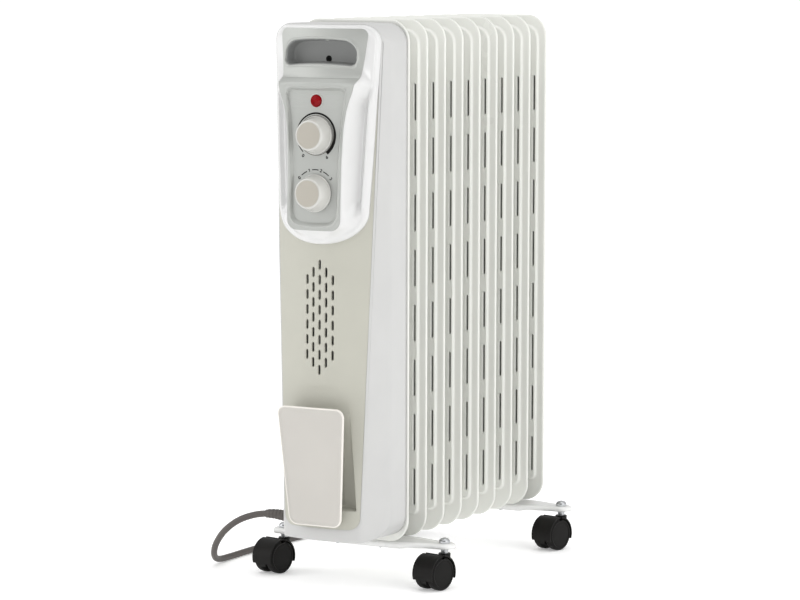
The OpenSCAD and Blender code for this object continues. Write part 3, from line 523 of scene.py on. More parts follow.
def corner_inset(depth, r):
    """How far a round corner draws in at `depth` from its end: r less the root of r squared less (r less
    depth) squared."""
    return r - np.sqrt(np.clip(r**2 - np.clip(r - depth, 0, r) ** 2, 0, None))


def slot_columns(half, lip):
    """Where the eight grid columns of an upright slot stand across it: lip, edge, four within, edge, lip."""
    return np.array([-half - lip, *half * np.linspace(-1, 1, 6), half + lip])


def bend_slot(z, levels, first, ends, half, lip, tuck):
    """Bends the grid's rows at the two ends of an upright slot into round ends with a lip round them. Gives
    the numbers of those rows from below: lip, end, end, lip."""
    across = slot_columns(half, lip)
    inner = np.sqrt(np.clip(half**2 - across**2, 0, None)) - half
    inner[[0, -1]] = -half - tuck
    outer = np.sqrt(np.clip((half + lip) ** 2 - across**2, 0, None)) - half
    found = []
    for end, way in zip(ends, (-1, 1)):
        for level, curve in ((end + way * lip, outer), (end, inner)):
            row = int(np.argmin(np.abs(levels - level)))
            z[row, first : first + len(across)] = end + way * curve
            found.append(row)
    lip_low, low, lip_high, high = found
    return lip_low, low, high, lip_high


def ease(t):
    """A soft step from 0 to 1: t squared times (3 minus 2 t)."""
    t = np.clip(t, 0, 1)
    return t * t * (3 - 2 * t)


def soft_max(a, b, blend):
    """The larger of two heights with a round fillet `blend` wide where they cross."""
    h = np.clip(0.5 + 0.5 * (a - b) / blend, 0, 1)
    return b + (a - b) * h + blend * h * (1 - h)


def leaning_point(y, z, lean, u, v, w):
    """A point of a plate's own frame (right, up the plate, out) in the frame of the model: the plate's origin
    is at that y and z in the middle plane, and the plate leans back by `lean`."""
    u, v, w = np.broadcast_arrays(*(np.asarray(q, float) for q in (u, v, w)))
    up, out = math.sin(lean), math.cos(lean)
    return np.stack([u, y + v * up - w * out, z + v * out + w * up], -1)


def dial_point(u, v, w):
    """A point of the dials' own frame (right, up the panel, out) in the frame of the model."""
    return leaning_point(DIAL_Y, DIAL_Z, DIAL_LEAN, u, v, w)


def dial_axis(v):
    """The panel's point `v` up from the dials' origin, and the panel's outward direction."""
    return dial_point(0, v, 0), dial_point(0, 0, 1) - dial_point(0, 0, 0)


# ---- the control casing ----
WINDOW_Z = (70.0, 590.5)
WINDOW_INSET = 1.5
WINDOW_CUTS = (12.0, 12.0), (10.0, 10.0)


def casing_shell():
    """The white casing: every rib runs forward along the side wall, turns over the crease, crosses the
    sloping border and rolls in at the window. Ribs stand along a rounded upright outline."""
    cut = (CASE_CORNER, CASE_CORNER)
    ox, oz = outline(lambda z: np.full_like(z, CASE_HALF), CASE_LOW_Z, CASE_TOP_Z, cut, cut)
    ix, iz = outline(lambda z: front_half(z) - WINDOW_INSET, *WINDOW_Z, *WINDOW_CUTS)
    edge_y = casing_y(ox, oz)
    back = np.linspace(0, 1, 14)[:-1] ** 0.8
    wall = stacked(ox[:, None], CASE_BACK + (edge_y - CASE_BACK)[:, None] * back, oz[:, None])
    t = np.array([0, 0.02, 0.05, 0.1, 0.18, 0.3, 0.42, 0.55, 0.67, 0.78, 0.86, 0.92, 0.96, 0.985, 1.0])[None]
    x = ox[:, None] + (ix - ox)[:, None] * t
    z = oz[:, None] + (iz - oz)[:, None] * t
    face = np.stack([x, casing_y(x, z), z], -1)
    lip = stacked(ix[:, None] * np.array([1.0, 0.998]),
                  casing_y(ix, iz)[:, None] + np.array([0.8, 2.4]), iz[:, None])
    ribs = soften(np.concatenate([wall, face, lip], 1), width=1.5)
    quads = grid(*ribs.shape[:2], wrap_rows=True)
    points = ribs.reshape(-1, 3)
    well_inside = np.array([0, CASE_BACK + 20, 330.0])
    away = points - well_inside
    a, b, c = (points[quads[:, k]] for k in range(3))
    facing = (np.cross(b - a, c - a) * away[quads[:, 0]]).sum()
    shell = put_mesh("casing_shell", points, quads if facing > 0 else quads[:, ::-1], sharp=50)
    return thick(shell, WALL)


# vents: five columns of upright slots; the middle one has eight, and each next one has one less
VENT_COLUMNS, VENT_MOST = range(-2, 3), 8
VENT_PITCH_X, VENT_STEP, VENT_MID = 7.7, 7.95, 294.0
VENT_HALF, VENT_REACH, VENT_LIP, VENT_SUNK = 1.5, 5.25, 0.6, 0.45
# cord recess: its lower and upper end, and there its depth and its back's half width
RECESS_Z = (91.0, 217.0)
RECESS_DEPTH = (16.0, 2.0)
RECESS_HALF = (39.5, 33.5)
RECESS_WALL, RECESS_OUT, RECESS_FILLET = 9.0, -253.5, 2.2
RECESS_LEDGE_FROM, RECESS_LEDGE, RECESS_FADE = 1.6, 3.0, 4.5
COVER_GAP, COVER_BEHIND, COVER_CORNER = 1.3, 0.5, 12.0
POCKET_HOLE_HALF, POCKET_HOLE_Z = 50, 552


def recess_back(z):
    """Back wall of the cord recess: a flat plane from the deep lower end to the shallow upper end."""
    return np.interp(z, RECESS_Z, [float(front_y(0, at)) + deep for at, deep in zip(RECESS_Z, RECESS_DEPTH)])


def recess_half(z):
    """Half width of the recess's flat back, wider at its lower end."""
    return np.interp(z, RECESS_Z, RECESS_HALF)


def cover_grid():
    """Heights of the cover's rows and how far right of the middle its outer columns stand in each: over the
    recess's back, up its side wall and on to the cover's edge."""
    steps = np.array([0, 2.1, 2.7, VENT_REACH, VENT_REACH + VENT_LIP])
    slots = np.arange(-VENT_MOST, VENT_MOST)[:, None]
    vent_rows = (VENT_MID + VENT_STEP * (slots + steps / VENT_STEP)).ravel()
    rows = np.unique(np.round(np.concatenate([
        [69.6, 69.9, 70.5, 71.5, 73, 75.5, 78.5, 82.3, 86, 88.6, 89.6, 90.2, 90.8, 91.4, 92.0, 93.2],
        np.linspace(95, 213, 34), [215, 217, 219, 221.5, 225], vent_rows, [VENT_MID + VENT_MOST * VENT_STEP],
        np.linspace(362, 590.2, 40),
    ]), 3))
    sunk = np.clip(rows, *RECESS_Z)
    deep, back_half = recess_back(sunk), recess_half(sunk)
    wall_x = back_half + RECESS_WALL * (front_y(40.0, sunk) - deep) / (RECESS_OUT - deep)
    drop = deep - front_y(0.0, sunk)
    meet = np.sqrt(np.clip(2 * front_radius(sunk) * drop - drop**2, 0, None))
    flat_x = np.minimum(meet, back_half)
    limit = front_half(rows) - COVER_GAP - corner_inset(rows - rows[0], COVER_CORNER)
    rim_x = np.minimum(np.where(meet < back_half, meet + 0.4, wall_x), limit - 0.6)
    start = VENT_COLUMNS[-1] * VENT_PITCH_X + VENT_HALF + VENT_LIP
    right = np.concatenate([
        start + (flat_x - start)[:, None] * np.array([0.2, 0.4, 0.6, 0.8, 0.92, 1.0]),
        flat_x[:, None] + (rim_x - flat_x)[:, None] * np.array([0.25, 0.5, 0.75, 0.93, 1.0]),
        rim_x[:, None] + (limit - rim_x)[:, None] * np.array([0.06, 0.14, 0.3, 0.5, 0.7, 0.85, 0.95, 1.0]),
    ], 1)
    return rows, right * np.minimum(1.0, (limit - 0.3)[:, None] / right[:, -1:])


def front_cover():
    """The beige cover in the casing's window: the casing's bowed front, five columns of upright slots with
    rolled lips, and a tapering recess sunk into its lower part."""
    rows, right = cover_grid()
    mid = np.concatenate([c * VENT_PITCH_X + slot_columns(VENT_HALF, VENT_LIP) for c in VENT_COLUMNS])
    x = np.concatenate([-right[:, ::-1], np.broadcast_to(mid, (len(rows), len(mid))), right], 1)
    z = np.broadcast_to(rows[:, None], x.shape).copy()
    gone = np.zeros((len(rows) - 1, x.shape[1] - 1), bool)
    lip_in = np.zeros(x.shape)
    for k, column in enumerate(VENT_COLUMNS):
        first = right.shape[1] + k * len(mid) // len(VENT_COLUMNS)
        count = VENT_MOST - abs(column)
        for m in range(count):
            middle = VENT_MID + (m - (count - 1) / 2) * 2 * VENT_STEP
            ends = (middle - VENT_REACH, middle + VENT_REACH)
            _, low, high, _ = bend_slot(z, rows, first, ends, VENT_HALF, VENT_LIP, VENT_SUNK)
            gone[low:high, first + 1 : first + 6] = True
            lip_in[low : high + 1, [first + 1, first + 6]] = VENT_SUNK
            lip_in[[low, high], first + 1 : first + 7] = VENT_SUNK
    y, deep = front_y(x, z) + COVER_BEHIND + lip_in, recess_back(z)
    cut = deep + (RECESS_OUT - deep) * np.clip((np.abs(x) - recess_half(z)) / RECESS_WALL, 0, 2)
    ledge = ease((z - RECESS_Z[0] + RECESS_LEDGE_FROM) / RECESS_LEDGE)
    fade = ease((RECESS_Z[1] + RECESS_FADE - z) / RECESS_FADE)
    shade = np.clip(recess_back(RECESS_Z[1]) - front_y(x, z), 0, None)
    sunk_y = y + (soft_max(y, cut, RECESS_FILLET) - y) * ledge
    y = np.where(z <= RECESS_Z[1] + 0.05, sunk_y, y + shade * fade)
    front = np.stack([x, y, z], -1).reshape(-1, 3)
    middle_x, middle_z = (0.5 * (q[1:, 1:] + q[:-1, :-1]) for q in (x, z))
    gone |= (np.abs(middle_x) < POCKET_HOLE_HALF) & (middle_z > POCKET_HOLE_Z)
    quads = grid(*x.shape)[~gone.ravel()]
    return two_sheets("front_cover", front, front + [0, WALL, 0], quads, sharp=38)


# ---- the control shield: white border, silver insert, pocket ----
# widths are pairs of heights and half widths there; cuts are the corners' (width, height), lower then upper
SILVER_HALF = ([385, 400, 442, 461, 493, 502, 512, 521, 531, 543, 567, 597],
               [32, 32, 32, 32.3, 34, 35.3, 37, 39.7, 43.5, 46.4, 49.4, 52.8])
SILVER_LOW, SILVER_TOP, SPLIT_Z = 386.4, 597.6, 546.0
SILVER_CUTS, SILVER_BOW, SILVER_PROUD = ((11, 11), (9, 9)), 1.2, 2.5
STEP_FROM, STEP_FADE = 538, 10
SILVER_STEP = ([541, 543.5, 546, 549, 552, 556, 571, 590, 597.6, 602],
               [-241.2, -239.2, -237.2, -236.0, -235.2, -234.6, -232.8, -231.6, -230.6, -229.6])
RIM_HALF = ([392, 419, 442, 461, 502, 520, 535], [27.2, 28, 27.8, 28.9, 31.7, 34, 36.5])
RIM_LOW, RIM_HIGH, RIM_LOW_R, RIM_HIGH_R, RIM_BOW = 392.1, 535.1, 11, 7, 4.0
SHIELD_INSET = ([398, 461, 504, 546, 590], [5.1, 3.1, 2.2, 1.15, 0.3])
PANEL_LOW_Z, PANEL_TOP_Z, PANEL_CUTS = 371.4, 601.2, ((50, 33.6), (19, 19))
# border profiles over the way from the insert to the crest: the scoop's fall and the plain slope's height
SCOOP_LOW, SCOOP_LOW_FADE, SCOOP_TOP, SCOOP_TOP_FADE = 394, 21, 540, 25
SCOOP = ([0, 0.105, 0.237, 0.405, 0.56, 0.70, 0.84, 0.942, 1], [0, 0.05, 0.3, 0.68, 0.93, 1, 0.95, 0.84, 0.7])
SLOPE = ([0, 0.1, 0.24, 0.4, 0.6, 0.8, 0.94, 1], [1, 0.93, 0.75, 0.52, 0.28, 0.11, 0.03, 0])


def silver_half(z):
    return np.interp(z, *SILVER_HALF)


def shield_half(z):
    return front_half(z) - np.interp(z, *SHIELD_INSET)


def silver_y(x, z):
    """Front of the silver insert: flat and leaning round the dials, then a step back to the casing's bow."""
    z = np.asarray(z, float)
    flat = DIAL_Y - SILVER_PROUD + (z - DIAL_Z) * math.tan(DIAL_LEAN)
    y = np.where(z < SILVER_STEP[0][0], flat, np.interp(z, *SILVER_STEP))
    return y + bulge(x, z) * ease((z - STEP_FROM) / STEP_FADE)


def base_y(x, z):
    return front_y(x, z) - PROUD


def shield_ring():
    """The white border of the shield. Each rib leaves the silver insert, falls into a soft scoop beside the
    dials, climbs to a crest and rolls over to the casing; above and below the dials the scoop fades into a
    plain slope."""
    tuck, roll, roll_share, insert_rise, floor_rise, crest_rise, sunk = 0.8, 5.7, 0.55, 0.35, 4.2, 2.2, 0.6
    sx, sz = outline(silver_half, SILVER_LOW, SILVER_TOP, *SILVER_CUTS, bow=SILVER_BOW, side=90)
    ox, oz = outline(shield_half, PANEL_LOW_Z, PANEL_TOP_Z, *PANEL_CUTS, side=90)
    inner, outer = np.stack([sx, sz], 1), np.stack([ox, oz], 1)
    gap = np.linalg.norm(outer - inner, axis=1, keepdims=True)
    unit = (outer - inner) / np.maximum(gap, TINY)
    inner, gap = inner - unit * tuck, gap + tuck
    crest = outer - unit * np.minimum(roll, gap * roll_share)
    weight = (ease((sz - SCOOP_LOW) / SCOOP_LOW_FADE) * ease((SCOOP_TOP - sz) / SCOOP_TOP_FADE))[:, None]
    share = np.array([0, 0.05, 0.105, 0.17, 0.237, 0.32, 0.405, 0.5, 0.59, 0.7, 0.80, 0.88, 0.942, 0.975, 1])
    deepest = slice(10, 11)
    flat = inner[:, None] + (crest - inner)[:, None] * share[None, :, None]
    x, z = flat[..., 0], flat[..., 1]
    top = silver_y(sx, sz)[:, None] + insert_rise
    foot = base_y(x[:, deepest], z[:, deepest]) + floor_rise
    scoop = top + (foot - top) * np.interp(share, *SCOOP)
    slope = base_y(x, z) + (top - base_y(x[:, :1], z[:, :1])) * np.interp(share, *SLOPE)
    y = weight * scoop + (1 - weight) * slope
    y[:, -1:] = weight * (base_y(x[:, -1:], z[:, -1:]) - crest_rise) + (1 - weight) * y[:, -1:]
    fall = np.array([0.3, 1.6, 3.6, 6.0, 8.0])
    band = crest[:, None] + (outer - crest)[:, None] * np.array([0.3, 0.62, 0.86, 1.0, 1.0])[None, :, None]
    reach = base_y(outer[:, :1], outer[:, 1:]) + PROUD + sunk - y[:, -1:]
    band_y = y[:, -1:] + fall / fall[-1] * reach
    ribs = np.concatenate([np.stack([x, y, z], -1), np.stack([band[..., 0], band_y, band[..., 1]], -1)], 1)
    return front_skin("shield_border", soften(ribs, width=0.8), wall=2.0, sharp=45)


def silver_cell(name, inner, outer, depth, slope, bead):
    """One closed cell of the silver insert: from its outer line to the opening, over a rounded bead beside
    the opening and down a wall that leans in by `slope` over `depth`."""
    bead_at, bead_width, bead_run = 1.5, 1.1, 3.0
    (ix, iz), (ox, oz) = inner, outer
    t = np.linspace(0, 1, 22) ** 0.6
    x = ox[:, None] + (ix - ox)[:, None] * t
    z = oz[:, None] + (iz - oz)[:, None] * t
    away = np.hypot(x - ix[:, None], z - iz[:, None])
    rise = bead * np.exp(-(((away - bead_at) / bead_width) ** 2)) * np.minimum(away[:, :1] / bead_run, 1)
    face = np.stack([x, silver_y(x, z) - rise, z], -1)
    pull = np.stack([ix - ix.mean(), iz - iz.mean()], 1)
    pull /= np.linalg.norm(pull, axis=1, keepdims=True)
    inward = np.array([0.12, 0.3, 0.52, 0.75, 0.92, 1.0]) * slope
    down = np.array([0.06, 0.22, 0.48, 0.74, 0.92, 1.0]) * depth
    edge = stacked(ix[:, None] - pull[:, :1] * inward, silver_y(ix, iz)[:, None] + down,
                   iz[:, None] - pull[:, 1:] * inward)
    skirt = np.stack([ox, silver_y(ox, oz) + 1.6, oz], -1)[:, None]
    return front_skin(name, np.concatenate([skirt, face, edge], 1), wall=1.2, sharp=55)


POCKET_LOW, POCKET_HIGH = 557.6, 586.6
POCKET_LEFT, POCKET_RIGHT = -45.3, 41.5
POCKET_BACK = -212.9
POCKET_LOW_R, POCKET_HIGH_R, POCKET_DROOP, POCKET_ARCH = 8, 14, 3.5, 2.7


def pocket_line(grow=0.0, **counts):
    """The hand pocket's opening: an upright-sided bean with an arched top and a lower edge arched the same
    way."""
    middle, half = (POCKET_LEFT + POCKET_RIGHT) / 2, (POCKET_RIGHT - POCKET_LEFT) / 2 + grow
    x, z = outline(lambda z: np.full_like(z, half), POCKET_LOW - grow, POCKET_HIGH + grow,
                   (POCKET_LOW_R + grow,) * 2, (POCKET_HIGH_R + grow,) * 2, **counts)
    u = np.clip(x / half, -1, 1) ** 2
    high = np.clip((z - POCKET_LOW) / (POCKET_HIGH - POCKET_LOW), 0, 1)
    return x + middle, z - POCKET_DROOP * u * high + POCKET_ARCH * (1 - u) * (1 - high)


def silver_insert():
    """The silver insert's two cells, one round the dials and one round the hand pocket."""
    low_cut, high_cut = SILVER_CUTS
    square = (0.02, 0.02)
    counts = dict(flat=24, corner=12, side=90)
    window = outline(lambda z: np.interp(z, *RIM_HALF), RIM_LOW, RIM_HIGH, (RIM_LOW_R,) * 2,
                     (RIM_HIGH_R,) * 2, bow=RIM_BOW, **counts)
    around = outline(silver_half, SILVER_LOW, SPLIT_Z, low_cut, square, bow=SILVER_BOW, **counts)
    lower = silver_cell("insert_lower", window, around, depth=2.7, slope=2.6, bead=1.0)
    counts["side"] = 24
    around = outline(silver_half, SPLIT_Z, SILVER_TOP, square, high_cut, **counts)
    upper = silver_cell("insert_upper", pocket_line(**counts), around, depth=2.6, slope=0.8, bead=0.9)
    return lower, upper


def pocket_cup():
    """The hand pocket: walls that close in a little as they run back, a round fillet and a flat back."""
    gap, wall = 0.8, 1.2
    levels = np.array([0.0, 0.12, 0.35, 0.6, 0.8, 0.9, 0.96, 0.99, 1.0, 1.0, 1.0, 1.0])
    close = np.array([0.0, 0.01, 0.03, 0.05, 0.07, 0.085, 0.11, 0.14, 0.19, 0.4, 0.7, 1.0])
    x, z = pocket_line(-gap, flat=20, corner=10, side=8)
    mx, mz = x.mean(), (POCKET_LOW + POCKET_HIGH) / 2
    start = silver_y(x, z)[:, None] + wall
    loops = np.stack([
        x[:, None] + (mx - x)[:, None] * close * np.where(close < 0.2, 0.5, 1),
        start + (POCKET_BACK - start) * levels,
        z[:, None] + (mz - z)[:, None] * close,
    ], -1)
    return thick(loft("pocket_cup", loops.transpose(1, 0, 2), toward=(0, -1, 0), sharp=50), wall)


def pocket_details():
    """A flat black disc on the pocket's back, painted shade for the inside of its screw well, and the small
    nib under the middle of its upper edge.
    """
    well_x, well_z, nib_x, nib_top, nib_y, nib_half, nib_wall = -0.5, 565.0, 6.5, 586.9, -230.6, 3.2, 1.4
    well = turned("pocket_well", [(0, -0.15), (3.2, -0.15), (3.6, 0.1), (3.6, 0.8), (0, 0.8)],
                  (well_x, POCKET_BACK - 0.1, well_z), (0, 1, 0), count=36)
    t = np.linspace(0, 0.97, 9)[:, None]
    across = np.linspace(-1, 1, 9)
    x = nib_x + nib_half * (1 - t) ** 0.8 * across
    y = nib_y + 3.2 * t**1.5 + 0.5 * across**2
    front = stacked(x, y, nib_top - 3.0 * t).reshape(-1, 3)
    return well, two_sheets("pocket_nib", front, front + [0, nib_wall, 0], grid(*x.shape))


# ---- the dials ----
THERMOSTAT_V, SELECTOR_V, LAMP_V = 29.0, -31.6, 65.0
KNOB_R, KNOB_GAP = 20.0, 0.5
GRILLE_Z, GRILLE_PITCH, GRILLE_RISE = (515, 533), 1.8, 0.09
PRINT_LIFT = 0.05
SELECTOR_DIGITS_R, THERMOSTAT_DIGITS_R = 24.8, 26.4
DIGIT_SCALE, DIGIT_LIFT, DIGIT_BEAD_R = 1.15, 0.02, 0.37


def fascia():
    """The flat silver plate under the dials, with a band of fine level ribs near its top."""
    low, high = GRILLE_Z
    rows = np.unique(np.concatenate([np.linspace(RIM_LOW - 0.4, low - 0.5, 80),
                                     np.arange(low, high + 0.01, GRILLE_PITCH / 4),
                                     [high + 0.6, high + 1.6, RIM_HIGH + 0.3]]))
    insets = corner_inset(rows - RIM_LOW, RIM_LOW_R), corner_inset(RIM_HIGH - rows, RIM_HIGH_R)
    half = np.interp(rows, *RIM_HALF) - insets[0] - insets[1] + 0.2
    x = half[:, None] * np.linspace(-1, 1, 41)
    bowed = RIM_BOW * (x / RIM_HALF[1][0]) ** 2
    z = rows[:, None] + bowed * np.clip(1 - (rows - RIM_LOW) / (3 * RIM_LOW_R), 0, 1)[:, None]
    within = (rows > low - 0.1) & (rows < high + 0.1)
    rib = GRILLE_RISE * np.cos((rows - low) * 2 * math.pi / GRILLE_PITCH) * within
    rib = rib[:, None] * (np.abs(x) < half[:, None] - 2.5)
    front = dial_point(x, z - DIAL_Z, rib).reshape(-1, 3)
    return two_sheets("dial_fascia", front, front + [0, 1.6, 0], grid(*x.shape))


def arc_print(name, v, inner, outer, start, stop, count=120):
    """A printed band on the fascia about a dial, by angle clockwise from the top; inner and outer are lists
    of radii spread along it."""
    angle = np.radians(np.linspace(start, stop, count))[:, None]
    at = np.linspace(0, 1, count)
    inner, outer = (np.interp(at, np.linspace(0, 1, len(r)), r)[:, None] for r in (inner, outer))
    r = inner + (outer - inner) * np.linspace(0, 1, 4)
    front = dial_point(r * np.sin(angle), v + r * np.cos(angle), PRINT_LIFT).reshape(-1, 3)
    return two_sheets(name, front, front + [0, PRINT_LIFT * 0.8, 0], grid(*r.shape), sharp=0)


def dial_digits():
    """Plain numbers, 0 to 3 round the selector and 0 and 6 at the ends of the thermostat's arc: each is a
    thin bead along a few curved strokes, turned to face its dial's centre."""
    def arc(start, stop, count, wide, high, mid=0.0):
        turn = np.linspace(math.radians(start), math.radians(stop), count)
        return np.stack([wide * np.cos(turn), mid + high * np.sin(turn)], -1)

    nought = arc(0, 360, 20, 0.8, 1.25)
    one = [(-0.6, 0.7), (0.1, 1.25), (0.1, 0.0), (0.1, -1.25)]
    two = [*arc(150, -40, 10, 0.8, 0.75, 0.5), (-0.8, -1.25), (0.9, -1.25)]
    three = [*arc(140, -80, 10, 0.7, 0.62, 0.62), *arc(80, -140, 10, 0.8, 0.65, -0.6)]
    six = [(0.5, 1.25), (-0.3, 0.7), *arc(0, 360, 20, -0.8, -0.8, -0.45)]
    selector = ("selector", SELECTOR_V, SELECTOR_DIGITS_R)
    thermostat = ("thermostat", THERMOSTAT_V, THERMOSTAT_DIGITS_R)
    places = ((selector, 0, nought, -51), (selector, 1, one, -17), (selector, 2, two, 16),
              (selector, 3, three, 50), (thermostat, 0, nought, -145), (thermostat, 6, six, 149))
    made = []
    for (dial, v, radius), digit, stroke, degrees in places:
        a, line = math.radians(degrees), even(np.array(stroke) * DIGIT_SCALE, 30)
        flip = -1 if abs(degrees) > 90 else 1
        out, side = radius + line[:, 1] * flip, line[:, 0] * flip
        u, up = out * math.sin(a) + side * math.cos(a), out * math.cos(a) - side * math.sin(a)
        path = dial_point(u, up + v, DIGIT_LIFT)
        made.append(tube(f"dial_number_{dial}_{digit}", path, DIGIT_BEAD_R, sides=8))
    return made


def knob(name, v):
    """A dial knob: a low skirt, a shallow groove above it, a sloping glossy side and a rounded shoulder."""
    profile = [(0, KNOB_GAP), (KNOB_R - 0.6, KNOB_GAP), (KNOB_R - 0.1, KNOB_GAP + 0.3), (KNOB_R, 1.2),
               (KNOB_R, 2.0), (KNOB_R - 0.3, 2.5), (19.3, 2.7), (19.0, 2.9), (18.95, 3.3), (19.15, 3.6),
               (19.05, 4.1), (18.4, 6.2), (17.6, 9.0), (16.9, 11.6), (16.3, 13.6), (15.9, 14.8), (15.4, 15.6),
               (14.7, 16.0), (14.2, 15.98), (14.0, 15.8), (13.7, 15.75), (8, 15.75), (0, 15.75)]
    return turned(name, profile, *dial_axis(v), count=128, sharp=40)


def knob_face(name, v):
    profile = [(0, 15.7), (13.75, 15.7), (13.8, 15.85), (13.6, 16.0), (9, 16.1), (0, 16.15)]
    return turned(name, profile, *dial_axis(v), count=96, sharp=30)


def lamp():
    """The pilot lamp: a domed jewel with fine rings and twelve soft flutes, and a rounded bezel."""
    rings = [(r, 1.5 + 0.9 * math.cos(r / 6.5 * 1.2) + 0.16 * (k % 2))
             for k, r in enumerate(np.linspace(5.9, 0.7, 14))]
    profile = [(0, -1.0), (6.2, -1.0), (6.45, 0.4), (6.35, 1.6), *rings, (0, 2.5)]
    jewel = turned("lamp_jewel", profile, *dial_axis(LAMP_V), count=72, sharp=25,
                   radius_at=lambda a, r, h: r * (1 + 0.006 * np.cos(12 * a)))
    section = [(6.5, -0.4), (7.9, -0.4), (7.95, 0.15), (7.7, 0.55), (7.2, 0.75), (6.8, 0.6), (6.5, 0.3)]
    bezel = turned("lamp_bezel", section, *dial_axis(LAMP_V), count=72, closed=True)
    return jewel, bezel


# ---- the oil filled fins ----
TUBE_X, TUBE_R = 21.0, 9.0
BOSS_Z, BOSS_R, BOSS_H, BOSS_ROUND = (94.0, 560.0), 24.0, 11.0, 7.0
# the outer and the inner column of slots: distance from the middle, how many, height of the top one's end
SLOT_SETS = ((53.2, 8, 537.5), (44.2, 7, 507.85))
SLOT_PITCH, SLOT_LENGTH, SLOT_HALF, SLOT_LIP = 59.3, 40.0, 1.3, 0.55
SLOT_TUCK, SLOT_RISE = 0.3, 0.3
FIELD_HALF, FIELD_LOW, FIELD_TOP, FIELD_LOW_R, FIELD_TOP_R = 59.0, 71.0, 596.0, 9.0, 18.0
FIELD_SPLIT = 330
FIN_FILLET, FIN_ROLL, FIN_ROLL_DEPTH = 1.6, 1.3, 1.1
FIN_RIM_H, FIN_PANEL_RISE, FIN_PANEL_RUN, FIN_BEAD_RISE, FIN_BEAD_AT = 1.5, 2.0, 3.0, 0.45, 2.4
TUBE_PAST, TUBE_FADE = 8, 12


def fin_half_thickness(x, z):
    """Half the thickness of a fin: a flat rim, a bead along its panel, the panel, two upright oil tubes and
    the two round bosses that join it to its neighbours."""
    across = np.abs(x)
    corner = np.where(z > FIELD_SPLIT, FIELD_TOP_R, FIELD_LOW_R)
    dx = across - (FIELD_HALF - corner)
    dz = np.maximum(z - (FIELD_TOP - corner), (FIELD_LOW + corner) - z)
    inside = corner - np.hypot(np.maximum(dx, 0), np.maximum(dz, 0)) - np.minimum(np.maximum(dx, dz), 0)
    bead = FIN_BEAD_RISE * np.exp(-((inside - FIN_BEAD_AT) ** 2))
    panel = FIN_RIM_H + FIN_PANEL_RISE * ease(inside / FIN_PANEL_RUN) + bead
    low, high = BOSS_Z
    run = ease((high + TUBE_PAST - z) / TUBE_FADE) * ease((z - low + TUBE_PAST) / TUBE_FADE)
    tube_h = TUBE_R * np.sqrt(np.clip(1 - ((across - TUBE_X) / TUBE_R) ** 2, 0, 1)) * run
    h = soft_max(tube_h, panel, FIN_FILLET)
    for middle in BOSS_Z:
        away = np.hypot(x, z - middle)
        past = np.clip(away - (BOSS_R - BOSS_ROUND), 0, BOSS_ROUND) / BOSS_ROUND
        dome = BOSS_H * np.sqrt(np.clip(1 - past**2, 0, 1))
        h = soft_max(np.where(away < BOSS_R, dome, 0.0), h, FIN_FILLET)
    return np.minimum(h, BOSS_H)


def fin_sheet():
    """The grid that all fins share: where its points stand, its half thickness, and its faces without the
    slots."""
    slot_in, curve_end, clear = slot_columns(SLOT_HALF, SLOT_LIP), 2.2, SLOT_HALF + 0.35
    (outer_x, _, _), (inner_x, _, _) = SLOT_SETS
    right = np.concatenate([
        np.arange(0.9, 12, 2.2), np.linspace(12.6, 30, 14), [32, 34.5, 37, 39.5], inner_x + slot_in,
        [47.8, 49.6], outer_x + slot_in,
        [56.1, 56.7, 57.4, 58.1, 58.9, 59.6, 61, 62.6, 64.2, 65.3, 66.0, 66.6, 67.0]])
    x0 = np.concatenate([-right[::-1], right])
    fixed = []
    for _, count, top in SLOT_SETS:
        tops = top - SLOT_PITCH * np.arange(count)
        lows = tops - SLOT_LENGTH
        fixed += [tops, tops + SLOT_LIP, lows, lows - SLOT_LIP, tops - curve_end, lows + curve_end]
    fixed = np.concatenate(fixed)
    filler = np.concatenate([
        np.linspace(FIN_BOTTOM, 51, 5), np.linspace(53, 69, 7), [70.5, 71.2, 72, 72.8, 73.6, 74.6, 76, 78],
        np.arange(81, 120, 2.2), np.arange(121, 532, 5.2), np.arange(534, 588, 2.2),
        [589.5, 591, 592.4, 593.2, 594, 594.8, 595.6, 596.4], np.linspace(597.5, 603, 5),
        [604.2, 605.1, 605.7, FIN_TOP]])
    z0 = np.sort(np.concatenate([fixed, filler[np.abs(filler[:, None] - fixed[None]).min(1) > clear]]))
    width = FIN_HALF - corner_inset(np.minimum(FIN_TOP - z0, z0 - FIN_BOTTOM), FIN_CORNER)
    x = x0[None] * (width / FIN_HALF)[:, None]
    z = np.broadcast_to(z0[:, None], x.shape).copy()
    gone = np.zeros((len(z0) - 1, len(x0) - 1), bool)
    lip = np.zeros(x.shape)
    for middle, count, top in SLOT_SETS:
        for side in (-1, 1):
            first = int(np.argmin(np.abs(x0 - (side * middle - SLOT_HALF - SLOT_LIP))))
            for k in range(count):
                ends = (top - SLOT_PITCH * k - SLOT_LENGTH, top - SLOT_PITCH * k)
                rows = bend_slot(z, z0, first, ends, SLOT_HALF, SLOT_LIP, SLOT_TUCK)
                gone[rows[1] : rows[2], first + 1 : first + 6] = True
                for (low, high), left, last, rise in ((rows[::3], first, first + 7, -SLOT_RISE),
                                                      (rows[1:3], first + 1, first + 6, SLOT_RISE)):
                    lip[low : high + 1, [left, last]] = rise
                    lip[[low, high], left : last + 1] = rise
    edge = np.minimum(np.minimum(width[:, None] - np.abs(x), FIN_TOP - z), z - FIN_BOTTOM)
    h = fin_half_thickness(x, z) - lip - FIN_ROLL_DEPTH * (1 - np.clip(edge / FIN_ROLL, 0, 1)) ** 2
    return x, z, h, grid(*x.shape)[~gone.ravel()]


def fins():
    x, z, h, quads = fin_sheet()
    made = []
    for k in range(1, FIN_COUNT + 1):
        middle = centre_mm(f"fin_{k}")[1]
        front, back = (np.stack([x, middle + way * h, z], -1).reshape(-1, 3) for way in (-1, 1))
        made.append(two_sheets(f"radiator_fin_{k}", front, back, quads, sharp=50))
    return made


